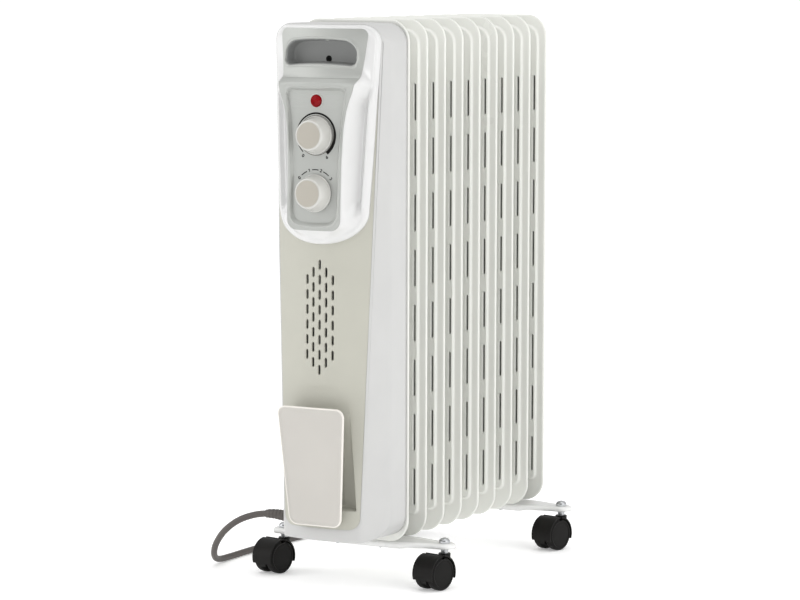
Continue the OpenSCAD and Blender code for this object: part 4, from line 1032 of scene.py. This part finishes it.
def slot_shade_plates(k):
    """Dark plates with round ends inside a fin's slots, standing well back from both faces: painted shade for
    the dark inside of the through slots.
    """
    middle, half, r = centre_mm(f"fin_{k}")[1], 0.5, SLOT_HALF + 0.3
    turn = np.linspace(0, 2 * math.pi, 17)[:-1]
    reach = SLOT_LENGTH / 2 - SLOT_HALF
    ring = np.stack([r * np.cos(turn), r * np.sin(turn) + np.where(np.sin(turn) >= 0, reach, -reach)], -1)
    centres = np.concatenate([
        np.stack([np.full(count, side * x), top - SLOT_PITCH * np.arange(count) - SLOT_LENGTH / 2], -1)
        for x, count, top in SLOT_SETS for side in (-1, 1)])[:, None]
    flat = centres + ring[None]
    points = np.concatenate([stacked(part[..., 0], middle + way * half, part[..., 1])
                             for part in (flat, centres) for way in (-1, 1)], 1)
    n = len(turn)
    i = np.arange(n)
    after = (i + 1) % n
    wall = np.stack([i, after, after + n, i + n], -1)
    fan = np.concatenate([np.stack([np.full(n, 2 * n), after, i], -1),
                          np.stack([np.full(n, 2 * n + 1), i + n, after + n], -1)])
    shift = (np.arange(len(centres)) * points.shape[1])[:, None, None]
    quads, tris = (wall[None] + shift).reshape(-1, 4), (fan[None] + shift).reshape(-1, 3)
    points = points.reshape(-1, 3)
    quads, tris = outward(points - points.mean(0), quads, tris)
    return put_mesh(f"fin_slot_shade_plates_{k}", points, quads, tris, sharp=30)


# ---- feet and castors ----
BAR_END, BAR_MID, BAR_NECK, BAR_STEM = 12.0, 22.0, 88.0, 100.0
BAR_MID_X, BAR_WALL = 58.0, 1.8
# the skirt's lower edge: distances from the middle and heights there
BAR_SKIRT = ([57.5, 64], [41.2, 42.6])
HUB_TURN, WHEEL_HALF = math.radians(-12.0), 4.75
NECK_FROM, NECK_DROP = 38.0, 4.3
ROD_END = 42.6
NUT_SQUASH = 0.68


def bar_loop():
    """Plan of a foot bar and the point of its spine that faces each point of it: broad in the middle, necked
    towards round ends over the castor stems."""
    right = [(0, -BAR_MID), (BAR_MID_X, -BAR_MID), (BAR_NECK, -BAR_END), (BAR_STEM, -BAR_END)]
    side = even(round_corners(right, [0, 14, 9, 0], steps=9), 40)
    turn = np.linspace(-math.pi / 2, math.pi / 2, 25)
    tip = np.stack([BAR_STEM + BAR_END * np.cos(turn), BAR_END * np.sin(turn)], -1)
    half = np.concatenate([side[:-1], tip, (side * [1, -1])[::-1][1:]])
    plan = np.concatenate([half[:-1], (half * [-1, 1])[::-1][:-1]])
    spine = np.stack([np.clip(plan[:, 0], -BAR_STEM, BAR_STEM), np.zeros(len(plan))], -1)
    return plan, spine


def foot_bar(name, node):
    """A foot bar pressed from sheet: a crowned top with a raised middle panel, a rolled edge and a skirt that
    is deeper in the middle than at the ends."""
    plan, spine = bar_loop()
    reach = np.linalg.norm(plan - spine, axis=1, keepdims=True)
    unit = (plan - spine) / np.maximum(reach, TINY)
    skirt = np.interp(np.abs(plan[:, 0]), *BAR_SKIRT)
    rise = BAR_TOP - 1.9 - skirt
    # insets with the share of the skirt's rise, then insets with the drop below the top
    side = ((0.0, 0.0), (0.0, 0.6), (0.0, 0.9), (0.15, 0.94))
    crown = ((0.6, 1.35), (1.5, 0.5), (2.8, 0.1), (4.5, 0.0), (6.0, 0.0), (6.8, 0.25), (7.6, 0.55),
             (9.0, 0.6), (12.0, 0.6), (30.0, 0.6))
    levels = [(inset, skirt + rise * share / side[-1][1]) for inset, share in side]
    levels += [(inset, np.full(len(plan), BAR_TOP - drop)) for inset, drop in crown]
    shift = [0, centre_mm(node)[1]]
    loops = [np.column_stack([plan - unit * np.minimum(inset, reach) + shift, z]) for inset, z in levels]
    return thick(loft(name, loops, toward=(0, 0, 1), sharp=40), BAR_WALL)


def castor_wheel(node, name):
    """A castor wheel and its body: a rounded tread, a shallow dish in each face with a raised rim, and a boss
    round the axle."""
    corner = node.split("_", 2)[2].rsplit("_", 1)[0]
    # radius, and how far inside the face's highest point
    side = ((6.0, 0.55), (13.4, 0.6), (14.3, 0.7), (14.7, 0.35), (15.1, 0.05), (15.6, 0), (16.4, 0.15),
            (17.2, 0.6), (17.8, 1.4), (WHEEL_R, 2.4))
    face = [(r, WHEEL_HALF - sunk) for r, sunk in side]
    hub = WHEEL_HALF - 0.5
    profile = [(0, -hub), *[(r, -w) for r, w in face], (WHEEL_R, 0.0), *face[::-1], (0, hub)]
    axis = (math.cos(HUB_TURN), math.sin(HUB_TURN), 0)
    wheel = turned(name, profile, centre_mm(node), axis, count=96, sharp=32)
    return wheel, f"wheel_{corner}_{node.rsplit('_', 1)[1]}"


def reshape_heights(piece, change):
    """Moves a copied part's points up or down: change(height) is a point's new height in millimetres."""
    at = np.zeros(len(piece.data.vertices) * 3, np.float32)
    piece.data.vertices.foreach_get("co", at)
    at = at.reshape(-1, 3)
    world = np.array(piece.matrix_world)
    height = (at @ world[2, :3] + world[2, 3]) / MM
    up = np.linalg.inv(world[:3, :3]) @ np.array([0, 0, 1.0])
    at = at + ((change(height) - height) * MM)[:, None] * up
    piece.data.vertices.foreach_set("co", at.ravel().astype(np.float32))
    piece.data.update()
    return piece


# ---- the cord wrap, the cord and the plug ----
PADDLE_Y, PADDLE_Z, PADDLE_TILT = -240.4, 73.0, math.radians(4.6)
PADDLE_LENGTH, PADDLE_LOW, PADDLE_HIGH, PADDLE_R = 128.0, 31.4, 40.7, 9.5
STALK_LOW, STALK_HIGH, STALK_HALF, STALK_R = 131.0, 165.0, 17.0, 8
STALK_FLARE_NEAR, STALK_FLARE_FAR, STALK_FLARE_RUN = 0.22, 0.14, 0.06


def on_paddle(u, v, w):
    """A point of the paddle's own frame (right, up the paddle, out) in the frame of the model."""
    return leaning_point(PADDLE_Y, PADDLE_Z, -PADDLE_TILT, u, v, w)


def paddle_ring(inset):
    cut = (max(PADDLE_R - inset, 1.0),) * 2
    return outline(lambda v: np.interp(v, [0, PADDLE_LENGTH], [PADDLE_LOW, PADDLE_HIGH]) - inset,
                   inset, PADDLE_LENGTH - inset, cut, cut, flat=14, corner=10, side=30)


def capped(loops):
    """The loops with one more at each end, shrunk to the middle of the first and of the last."""
    first, last = (np.broadcast_to(loops[k].mean(0), loops[k].shape) for k in (0, -1))
    return [first, *loops, last]


def cord_wrap():
    """The plate that the cord is wound behind: a rounded edge, a raised rim and a face that lies a little
    lower, on a short stalk of rounded section that flares where it meets the casing."""
    levels = ((20, 0.3), (3, 0.3), (0.8, 0.3), (0.2, 0.6), (0, 1.2), (0, 2.1), (0.25, 2.7), (0.8, 3.0),
              (1.9, 3.0), (2.4, 2.9), (2.8, 2.6), (3.2, 2.45), (5, 2.4), (20, 2.4))
    plate = loft("cord_wrap_plate", capped([on_paddle(*paddle_ring(inset), w) for inset, w in levels]))
    # the rim is its own ring so that it takes a lighter finish: a painted highlight along the edge
    section = ((-0.05, 1.0), (-0.05, 2.2), (0.25, 2.85), (0.7, 3.05), (1.3, 3.0), (1.6, 2.7), (1.6, 1.0))
    loops = [on_paddle(*paddle_ring(inset), w) for inset, w in section]
    rim = loft("cord_wrap_rim", loops, sharp=45, ring=True)
    x, z = outline(lambda v: np.full_like(v, STALK_HALF), STALK_LOW, STALK_HIGH, (STALK_R,) * 2,
                   (STALK_R,) * 2, flat=8, corner=8, side=8)
    near = PADDLE_Y - (z - PADDLE_Z) * math.tan(PADDLE_TILT) - 0.4
    far = recess_back(z) - 0.1
    mid_z = (STALK_LOW + STALK_HIGH) / 2
    t = np.linspace(0, 1, 16)
    flare = (1 + STALK_FLARE_NEAR * np.exp(-t / STALK_FLARE_RUN)
             + STALK_FLARE_FAR * np.exp(-(1 - t) / STALK_FLARE_RUN))
    loops = [np.column_stack([x * g, near + (far - near) * s, mid_z + (z - mid_z) * g])
             for s, g in zip(t, flare)]
    stalk = loft("cord_wrap_stalk", capped(loops), sharp=50)
    return plate, stalk, rim


CORD_ROUTE = [(-74, -184, 69.5), (-90, -186, 70.5), (-110, -188, 67.5), (-130, -189, 59.5), (-149, -186, 46),
              (-165, -178, 29), (-176, -164, 14), (-183, -144, 5.5), (-186, -115, 3.6), (-187, -80, 3.6),
              (-187, -40, 3.6), (-186, 0, 3.6), (-183, 40, 3.6), (-178, 80, 3.8), (-170, 120, 5)]
CORD_POINTS = 620
COIL_CENTRE = (-205.0, 190.0)
COIL_WIDE, COIL_TIGHT, COIL_LOW, COIL_LIFT = 45.2, 30.8, 5.3, 7.5
COIL_ENTRY = (-160.6, 158, 6.2)
TAIL = [(-159.2, 203, 11.4), (-158, 214, 12.6), (-158, 224, 15.4), (-158, 232, 17.2), (-158, 240, 17.4)]


def coil_line():
    """The hank: two flat turns that close in, a short climb, and two turns that open out on top of them."""
    turn = np.linspace(0, 8 * math.pi, 8 * 24 + 1)[1:]
    radius = np.interp(turn / math.pi, [0, 4, 4.5, 8], [COIL_WIDE, COIL_TIGHT, COIL_TIGHT, COIL_WIDE])
    height = COIL_LOW + COIL_LIFT * ease((turn / math.pi - 3.8) / 0.8)
    x, y = COIL_CENTRE
    return np.stack([x + radius * np.cos(turn), y + radius * np.sin(turn), height], -1)


def cord_line():
    coil = coil_line()
    run = smooth_line([*CORD_ROUTE, COIL_ENTRY, tuple(coil[1])], 8)
    tail = smooth_line([tuple(coil[-2]), tuple(coil[-1]), *TAIL], 6)
    return even(np.concatenate([run[:-1], coil[1:-2], tail]), CORD_POINTS)


def strain_relief():
    """The ribbed sleeve where the cord leaves: a collar against the casing, then rings that grow thinner
    towards its end."""
    wide, narrow, rings, ring_rise, collar_rise, collar_end = 6.0, 4.3, 7, 0.45, 2.4, 0.16
    t = np.linspace(0, 1, 97)
    body = np.interp(t, [0, 1], [wide, narrow])
    fade = np.interp(t, [0, 0.12, 0.95, 1], [0, 1, 0.8, 0])
    ring = ring_rise * (np.cos(t * 2 * math.pi * rings) > -0.2) * fade
    line = smooth_line([(-66.0, -183.2, 68.7), *CORD_ROUTE[:3]], 40)
    line = even(line[: int(len(line) * 0.75)], len(t))
    collar = (t < collar_end) * collar_rise * ease((collar_end - t) / 0.03)
    return tube("cord_gland_sleeve", line, body + ring + collar, sides=28)


def cord_tie():
    """The fabric band round the hank: a hollow rounded box, drawn in a little along its middle."""
    def soft(v):
        return np.sign(v) * np.abs(v) ** 0.55

    low, high = box_mm("cord_tie")
    c, half = (low + high) / 2, (high - low) / 2
    turn = np.linspace(0, 2 * math.pi, 65)[:-1]
    loops = []
    for s in np.linspace(-1, 1, 11):
        x = c[0] + half[0] * soft(np.cos(turn)) * (1 - 0.012 * (1 - s * s))
        z = c[2] + half[2] * soft(np.sin(turn)) * (1 - 0.03 * (1 - s * s))
        loops.append(np.column_stack([x, np.full(len(turn), c[1] + s * half[1]), z]))
    shrink = np.array([0.96, 1, 0.92])
    inner = [(loop - [c[0], 0, c[2]]) * shrink + [c[0], 0, c[2]] for loop in loops[::-1]]
    return loft("cord_tie_band", loops + inner, sharp=40, ring=True)


def plug():
    """The moulded plug: a tapering ribbed neck, a round body with finger flats and a chamfered pin face."""
    def grips(a, r, h):
        flats = np.clip(np.cos(2 * a), 0, 1) ** 3 * ease((h - 12) / 6) * ease((length - 3 - h) / 4)
        return r * (1 - 0.035 * flats * (1 + 0.35 * np.cos(h * 2 * math.pi / 2.6)))

    low, high = box_mm("plug_body")
    c = ((low[0] + high[0]) / 2, low[1], (low[2] + high[2]) / 2)
    length, r = high[1] - low[1], (high[0] - low[0]) / 2
    neck = [(0, 0.2), (4.6, 0.2), (5.2, 0.8)]
    rings = [(5.2 + 0.22 * h + 0.45 * (k % 2), h) for k, h in enumerate(np.linspace(1.2, 9.5, 12))]
    body = [(8.6, 10.6), (11.5, 12.2), (14.2, 14.5), (15.9, 17.4), (16.7, 20.5), (r, 23.5)]
    # how far inside the widest radius and the full length the pin face's edge runs
    face = ((0, 4.0), (0.2, 2.6), (0.9, 1.2), (1.8, 0.4), (2.8, 0), (4.2, 0), (4.6, 0.5), (r - 6.0, 0.5),
            (r, 0.5))
    body += [(r - narrow, length - short) for narrow, short in face]
    return turned("plug_moulding", [*neck, *rings, *body], c, (0, 1, 0), count=96, radius_at=grips, sharp=40)


# ---- settings ----
class HeaterSizes(bpy.types.PropertyGroup):
    """Sizes that a user may change without leaving the model's own outline."""

    cord_width: bpy.props.FloatProperty(
        name="Cord", description="Diameter of the supply cord", default=0.007, min=0.005, max=0.008,
        unit="LENGTH", subtype="DISTANCE")
    fin_edge: bpy.props.FloatProperty(
        name="Edge Radius", description="Bevel of the carried-over metal parts", default=0.0004, min=0.0,
        max=0.001, unit="LENGTH", subtype="DISTANCE")
    lens: bpy.props.FloatProperty(
        name="Lens", description="Focal length in millimetres", default=151.3, min=50, max=300)


def tint(label, colour):
    return bpy.props.FloatVectorProperty(name=label, description=f"Base colour of the {label.lower()}",
                                         subtype="COLOR", size=3, min=0, max=1, default=colour)


class HeaterColours(bpy.types.PropertyGroup):
    """Base colours of the finishes, as linear values."""

    casing: tint("Casing", (0.53, 0.53, 0.522))
    shield: tint("Shield", (0.66, 0.66, 0.655))
    cover: tint("Front Cover", (0.47, 0.465, 0.405))
    insert: tint("Silver Insert", (0.41, 0.42, 0.40))
    # darker than the silver insert: painted shade in the hollow of the hand pocket
    pocket: tint("Pocket", (0.24, 0.245, 0.24))
    knob: tint("Knob", (0.55, 0.545, 0.515))
    # darker and browner than the knob's side: painted shade of the front-facing face
    knob_face: tint("Knob Face", (0.41, 0.385, 0.335))
    lamp: tint("Lamp", (0.22, 0.001, 0.004))
    fin: tint("Fins", (0.77, 0.775, 0.735))
    paddle: tint("Cord Wrap", (0.52, 0.50, 0.465))
    bar: tint("Foot Bars", (0.80, 0.80, 0.79))
    castor: tint("Castors", (0.008, 0.0075, 0.0068))
    cord: tint("Cord", (0.080, 0.070, 0.064))
    floor: tint("Floor", (0.97, 0.97, 0.97))


# finishes whose colour isn't a setting
FIXED = {
    "Well Shadow": dict(colour=(0.004, 0.004, 0.004), rough=0.8, mottle=0.3, mottle_size=2, specular=0.1),
    "Dial Ink": dict(colour=(0.009, 0.0085, 0.008), rough=0.6, mottle=0.1, mottle_size=3, specular=0.1),
    # the dark ring round the thermostat knob: painted shade
    "Pale Ink": dict(colour=(0.10, 0.085, 0.07), rough=0.5, mottle=0.06, mottle_size=3),
    "Slot Shadow": dict(colour=(0.03, 0.027, 0.024), rough=0.7, mottle=0.2, mottle_size=8, specular=0.1),
    "Tie Fabric": dict(colour=(0.03, 0.03, 0.032), rough=0.85, grain=0.12, grain_size=0.5),
    "Zinc Steel": dict(colour=(0.45, 0.46, 0.47), rough=0.3, grain=0.02, grain_size=0.5, metal=0.95,
                       mottle=0.06),
    "Chrome": dict(colour=(0.46, 0.47, 0.48), rough=0.18, grain=0.004, grain_size=2, metal=1.0),
    "Brass": dict(colour=(0.56, 0.40, 0.17), rough=0.3, grain=0.02, grain_size=0.6, metal=0.95, mottle=0.08),
    "Dark Moulding": dict(colour=(0.05, 0.047, 0.045), rough=0.45, grain=0.02, grain_size=0.5, mottle=0.1),
    "Cream Moulding": dict(colour=(0.68, 0.65, 0.55), rough=0.42, grain=0.02, grain_size=0.5),
    "Wire Sleeve": dict(colour=(0.10, 0.14, 0.30), rough=0.4, grain=0.02, grain_size=0.5, mottle=0.2),
}
# CAD nodes that stay in view, by finish
CARRIED_OVER = {
    "Zinc Steel": ("castor_stems", "thermostat_spindle", "selector_spindle", "control_bracket", "heat_shield",
                   "heating_element"),
    "Chrome": ("wing_nuts", "plug_pins"),
    "Brass": ("element_flange",),
    "Dark Moulding": ("thermostat_body", "thermal_cutout", "casing_screws"),
    "Cream Moulding": ("pilot_lamp_body", "selector_switch_body", "terminal_block"),
    "Wire Sleeve": ("wiring_harness",),
}


def fixed(name):
    return finish(name, **FIXED[name])


def fin_enamel(colour):
    return finish("Fin Enamel", colour.fin, 0.28, grain=0.02, grain_size=1.6, mottle=0.008, mottle_size=120,
                  coat=0.3)


def settings():
    return bpy.context.scene.heater_sizes, bpy.context.scene.heater_colours


def nodes_like(prefix):
    return [name for name in frame["nodes"] if name.startswith(prefix)]


# ---- operators ----
class HEATER_OT_casing(bpy.types.Operator):
    """Builds the white control casing"""

    bl_idname = "heater.casing"
    bl_label = "Control Casing"

    def execute(self, context):
        _, colour = settings()
        white = finish("Casing Plastic", colour.casing, 0.34, grain=0.02, grain_size=0.5)
        coat_piece(casing_shell(), white, replaces=["control_casing"])
        return {"FINISHED"}


class HEATER_OT_front(bpy.types.Operator):
    """Builds the beige front cover with its vents and the cord recess"""

    bl_idname = "heater.front_cover"
    bl_label = "Front Cover"

    def execute(self, context):
        _, colour = settings()
        beige = finish("Cover Plastic", colour.cover, 0.5, grain=0.035, grain_size=0.6)
        coat_piece(front_cover(), beige, replaces=["front_panel"])
        return {"FINISHED"}


class HEATER_OT_shield(bpy.types.Operator):
    """Builds the control shield: the white border, the silver insert and the hand pocket"""

    bl_idname = "heater.shield"
    bl_label = "Control Shield"

    def execute(self, context):
        _, colour = settings()
        white = finish("Shield Plastic", colour.shield, 0.22, grain=0.01, grain_size=0.8, coat=0.35)
        silver = finish("Insert Paint", colour.insert, 0.36, grain=0.02, grain_size=0.25, metal=0.25)
        # the pocket's grey is darker than the silver: painted shade in the pocket's hollow
        pocket_shade_grey = finish("Pocket Plastic", colour.pocket, 0.5, grain=0.03, grain_size=0.5)
        coat_piece(shield_ring(), white, replaces=["control_panel"])
        for piece in silver_insert():
            coat_piece(piece, silver, replaces=["control_panel"])
        coat_piece(pocket_cup(), pocket_shade_grey, replaces=["handle_pocket"])
        well, nib = pocket_details()
        # the black disc is painted shade of the screw well
        coat_piece(well, fixed("Well Shadow"))
        coat_piece(nib, silver)
        return {"FINISHED"}


class HEATER_OT_dials(bpy.types.Operator):
    """Builds the fascia, its printing, the two knobs and the pilot lamp"""

    bl_idname = "heater.dials"
    bl_label = "Dials"

    def execute(self, context):
        _, colour = settings()
        plate = finish("Fascia Paint", colour.insert, 0.38, grain=0.012, grain_size=0.25, metal=0.2)
        ink = fixed("Dial Ink")
        coat_piece(fascia(), plate, replaces=["dial_plate"])
        # a thin dark ring round the thermostat knob: painted shade of the groove there
        ring = turned("thermostat_ring", [(20.6, 0.01), (21.2, 0.01), (21.2, 0.05), (20.6, 0.05)],
                      *dial_axis(THERMOSTAT_V), count=120, closed=True)
        coat_piece(ring, fixed("Pale Ink"))
        coat_piece(arc_print("thermostat_arc", THERMOSTAT_V, [22.8, 22.5, 22.2, 21.8, 20.7],
                             [23.7, 23.9, 24.1, 24.3, 24.5], -139, 144), ink)
        for k, start in enumerate((-42, -9, 23)):
            dash = arc_print(f"selector_dash_{k}", SELECTOR_V, [24.2], [25.2], start, start + 18, count=16)
            coat_piece(dash, ink)
        for piece in dial_digits():
            coat_piece(piece, ink)
        gloss = finish("Knob Gloss", colour.knob, 0.16, grain=0.006, grain_size=1.2, coat=0.8)
        # the face's darker colour is painted shade of the face that looks to the front
        face_shade_finish = finish("Knob Satin", colour.knob_face, 0.4, grain=0.01, grain_size=0.3, metal=0.15)
        for name, v in (("thermostat", THERMOSTAT_V), ("selector", SELECTOR_V)):
            node = f"{name}_knob"
            coat_piece(knob(f"{name}_dial", v), gloss, body=name, replaces=[node])
            coat_piece(knob_face(f"{name}_dial_face", v), face_shade_finish, body=name, replaces=[node])
        jewel, bezel = lamp()
        coat_piece(jewel, lens_finish("Lamp Lens", colour.lamp), replaces=["pilot_lamp_lens"])
        coat_piece(bezel, gloss)
        return {"FINISHED"}


class HEATER_OT_fins(bpy.types.Operator):
    """Builds the oil filled fins"""

    bl_idname = "heater.fins"
    bl_label = "Fins"

    def execute(self, context):
        _, colour = settings()
        enamel, shadow = fin_enamel(colour), fixed("Slot Shadow")
        for k, piece in enumerate(fins(), 1):
            coat_piece(piece, enamel, replaces=[f"fin_{k}"])
            # a dark plate in each slot of the fin: painted shade
            coat_piece(slot_shade_plates(k), shadow)
        return {"FINISHED"}


class HEATER_OT_feet(bpy.types.Operator):
    """Builds the foot bars, the castors' hoods and their wheels"""

    bl_idname = "heater.feet"
    bl_label = "Feet"

    def execute(self, context):
        _, colour = settings()
        enamel = finish("Bar Enamel", colour.bar, 0.25, grain=0.015, grain_size=1.5, coat=0.4)
        for node in ("front_foot_bar", "rear_foot_bar"):
            coat_piece(foot_bar(f"{node}_pressing", node), enamel, replaces=[node])
        black = finish("Castor Nylon", colour.castor, 0.42, grain=0.02, grain_size=0.7, mottle=0.15,
                       specular=0.12)
        tread = finish("Wheel Nylon", [c * 0.85 for c in colour.castor], 0.5, grain=0.03, grain_size=0.5,
                       mottle=0.2, specular=0.12)
        for node in nodes_like("castor_hood_"):
            hood = dressed_copy(node, f"{node}_cover", 0.7)
            reshape_heights(hood, lambda h: np.where(h > NECK_FROM, h - NECK_DROP, h))
            body = node.replace("hood_", "")
            coat_piece(hood, black, body=body, replaces=[node])
        for node in nodes_like("castor_wheel_"):
            wheel, body = castor_wheel(node, f"{node}_turned")
            coat_piece(wheel, tread, body=body, replaces=[node])
        return {"FINISHED"}


class HEATER_OT_cord(bpy.types.Operator):
    """Builds the cord wrap, the supply cord, its sleeve, the tie and the plug"""

    bl_idname = "heater.cord"
    bl_label = "Cord"

    def execute(self, context):
        size, colour = settings()
        cream = finish("Wrap Plastic", colour.paddle, 0.36, grain=0.02, grain_size=0.6)
        # half again as bright as the plate: a painted highlight on the wrap's rim
        rim_highlight_colour = [min(c * 1.5, 0.8) for c in colour.paddle]
        worn = [c * 0.9 for c in colour.cord]
        rubber = finish("Cord Rubber", colour.cord, 0.5, grain=0.03, grain_size=0.4, mottle=0.1)
        plate, stalk, rim = cord_wrap()
        for piece in (plate, stalk):
            coat_piece(piece, cream, replaces=["cord_wrap"])
        coat_piece(rim, finish("Wrap Edge", rim_highlight_colour, 0.25, grain=0.01, grain_size=0.6, coat=0.4))
        line = cord_line()
        cord = coat_piece(tube("supply_cord", line, size.cord_width / MM / 2), rubber,
                          replaces=["power_cord", "cord_coil"])
        coat_piece(strain_relief(), rubber, replaces=["cord_gland"])
        tie = coat_piece(cord_tie(), fixed("Tie Fabric"), replaces=["cord_tie"])
        moulding = coat_piece(plug(), finish("Plug Rubber", worn, 0.42, grain=0.03, grain_size=0.5),
                              replaces=["plug_body"])
        return {"FINISHED"}


class HEATER_OT_inner(bpy.types.Operator):
    """Finishes the parts that stay as modelled, and builds the clamp rods and the dome nuts from theirs"""

    bl_idname = "heater.inner"
    bl_label = "Carried-over Parts"

    def execute(self, context):
        size, colour = settings()
        for node in ("upper_header", "lower_header", "header_plugs"):
            paint(frame["nodes"][node], fin_enamel(colour))
        for label, nodes in CARRIED_OVER.items():
            for node in nodes:
                paint(frame["nodes"][node], fixed(label))
        clamps = dressed_copy("foot_clamps", "foot_clamp_rods", size.fin_edge / MM)
        reshape_heights(clamps, lambda h: np.maximum(h, ROD_END))
        coat_piece(clamps, fixed("Zinc Steel"), replaces=["foot_clamps"])
        nuts, base = dressed_copy("castor_nuts", "castor_dome_nuts", 0), box_mm("castor_nuts")[0][2]
        reshape_heights(nuts, lambda h: base + (h - base) * NUT_SQUASH)
        coat_piece(nuts, fixed("Chrome"), replaces=["castor_nuts"])
        return {"FINISHED"}


# ---- the studio, in metres ----
CAMERA_PLACE = (1.78883, -3.26438, 0.67923)
CAMERA_AIM = (-0.48478, 0.86847, -0.10366)
CAMERA_ROLL = math.radians(0.13)
CAMERA_SENSOR, CAMERA_REACH = 36.0, 400.0
ROOM_DIM, ROOM_BRIGHT, ROOM_FAR = 0.1, 1.09, 0.68
FLOOR_SPAN, FLOOR_GAP, FLOOR_CELLS, FLOOR_GLOW = 90.0, 0.00002, 24, 0.26
# place, aim, width and height, watts
LIGHTS = {
    "right_box": ((2.6, -0.9, 1.3), (0, 0, 0.3), (2.2, 2.2), 21),
    "left_box": ((-2.4, -1.9, 1.5), (0, -0.1, 0.32), (2.0, 2.2), 20),
    "top_box": ((0.2, -0.2, 2.8), (0, 0, 0.3), (2.4, 2.4), 10),
    "front_fill": ((1.5, -3.3, 0.6), (0, -0.2, 0.25), (0.7, 0.7), 9),
}


def studio_world(aim):
    """A white room that is dim where the camera stands and a little dimmer straight behind the heater:
    brightness follows the direction's dot product with the level line of sight."""
    world = bpy.data.worlds.new("Studio")
    world.use_nodes = True
    nodes, link = world.node_tree.nodes, world.node_tree.links.new
    where = shader_node(nodes, "TexCoord")
    dot, level = shader_node(nodes, "VectorMath"), shader_node(nodes, "Math")
    dot.operation, level.operation = "DOT_PRODUCT", "MULTIPLY"
    dot.inputs[1].default_value = Vector((aim.x, aim.y, 0)).normalized()
    link(where.outputs["Generated"], dot.inputs[0])
    bands = ((-1.0, -0.4, ROOM_DIM, ROOM_BRIGHT), (0.0, 0.7, 1.0, ROOM_FAR))
    for k, (start, end, first, last) in enumerate(bands):
        band = shader_node(nodes, "MapRange", From_Min=start, From_Max=end, To_Min=first, To_Max=last)
        band.interpolation_type = "SMOOTHSTEP"
        link(dot.outputs["Value"], band.inputs["Value"])
        link(band.outputs["Result"], level.inputs[k])
    link(level.outputs["Value"], nodes["Background"].inputs["Strength"])
    nodes["Background"].inputs["Color"].default_value = (1, 1, 1, 1)
    return world


def studio_floor(colour):
    """A level square that reaches far out, in cells that grow with the cube of the distance."""
    low = min(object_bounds()[0][2], 0.0)
    along = np.linspace(-1, 1, FLOOR_CELLS + 1) ** 3 * FLOOR_SPAN
    points = stacked(along[:, None], along, low - FLOOR_GAP).reshape(-1, 3) / MM
    quads, _ = outward(points, grid(FLOOR_CELLS + 1, FLOOR_CELLS + 1), toward=(0, 0, 1))
    floor = put_mesh("studio_floor", points, quads, sharp=0)
    material = finish("Studio Floor", colour, 0.6, grain=0.02, grain_size=2.0, mottle=0.004, mottle_size=400)
    floor.data.materials.append(material)
    shader = material.node_tree.nodes["Principled BSDF"]
    shader.inputs["Emission Color"].default_value = (1, 1, 1, 1)
    shader.inputs["Emission Strength"].default_value = FLOOR_GLOW
    return floor


class HEATER_OT_studio(bpy.types.Operator):
    """Lays the floor, the soft lights and the camera"""

    bl_idname = "heater.studio"
    bl_label = "Studio"

    def execute(self, context):
        size, colour = settings()
        scene = context.scene
        stage_pieces = [studio_floor(colour.floor)]
        for name, (place, to, area, power) in LIGHTS.items():
            data = bpy.data.lights.new(name, "AREA")
            data.shape = "RECTANGLE"
            data.size, data.size_y = area
            data.energy = power
            light = bpy.data.objects.new(name, data)
            light.location = place
            light.rotation_euler = (Vector(to) - Vector(place)).to_track_quat("-Z", "Y").to_euler()
            scene.collection.objects.link(light)
            stage_pieces.append(light)
        aim = Vector(CAMERA_AIM).normalized()
        scene.world = studio_world(aim)
        data = bpy.data.cameras.new("Camera")
        data.lens, data.sensor_width, data.clip_end = size.lens, CAMERA_SENSOR, CAMERA_REACH
        camera = bpy.data.objects.new("Camera", data)
        camera.location = CAMERA_PLACE
        camera.rotation_mode = "QUATERNION"
        camera.rotation_quaternion = aim.to_track_quat("-Z", "Y") @ Quaternion((0, 0, 1), CAMERA_ROLL)
        scene.collection.objects.link(camera)
        scene.camera = camera
        scene.view_settings.view_transform = "Standard"
        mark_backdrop(*stage_pieces)
        return {"FINISHED"}


class HEATER_PT_panel(bpy.types.Panel):
    """Shows the heater's sizes and colours and a button for each step that builds it"""

    bl_idname = "HEATER_PT_panel"
    bl_label = "Oil Filled Radiator Heater"
    bl_space_type = "VIEW_3D"
    bl_region_type = "UI"
    bl_category = "Heater"

    def draw(self, context):
        sizes, colours = settings()
        for group in (sizes, colours):
            box = self.layout.box()
            for key in group.__annotations__:
                box.prop(group, key)
        for operator in OPERATORS:
            self.layout.operator(operator.bl_idname)


OPERATORS = (HEATER_OT_casing, HEATER_OT_front, HEATER_OT_shield, HEATER_OT_dials, HEATER_OT_fins,
             HEATER_OT_feet, HEATER_OT_cord, HEATER_OT_inner, HEATER_OT_studio)
CLASSES = (HeaterSizes, HeaterColours, *OPERATORS, HEATER_PT_panel)


def register():
    for item in CLASSES:
        bpy.utils.register_class(item)
    bpy.types.Scene.heater_sizes = bpy.props.PointerProperty(type=HeaterSizes)
    bpy.types.Scene.heater_colours = bpy.props.PointerProperty(type=HeaterColours)


def unregister():
    del bpy.types.Scene.heater_colours
    del bpy.types.Scene.heater_sizes
    for item in reversed(CLASSES):
        bpy.utils.unregister_class(item)


def main():
    register()
    for operator in OPERATORS:
        name = operator.bl_idname.split(".")[1]
        getattr(bpy.ops.heater, name)()


if __name__ == "__main__":
    main()
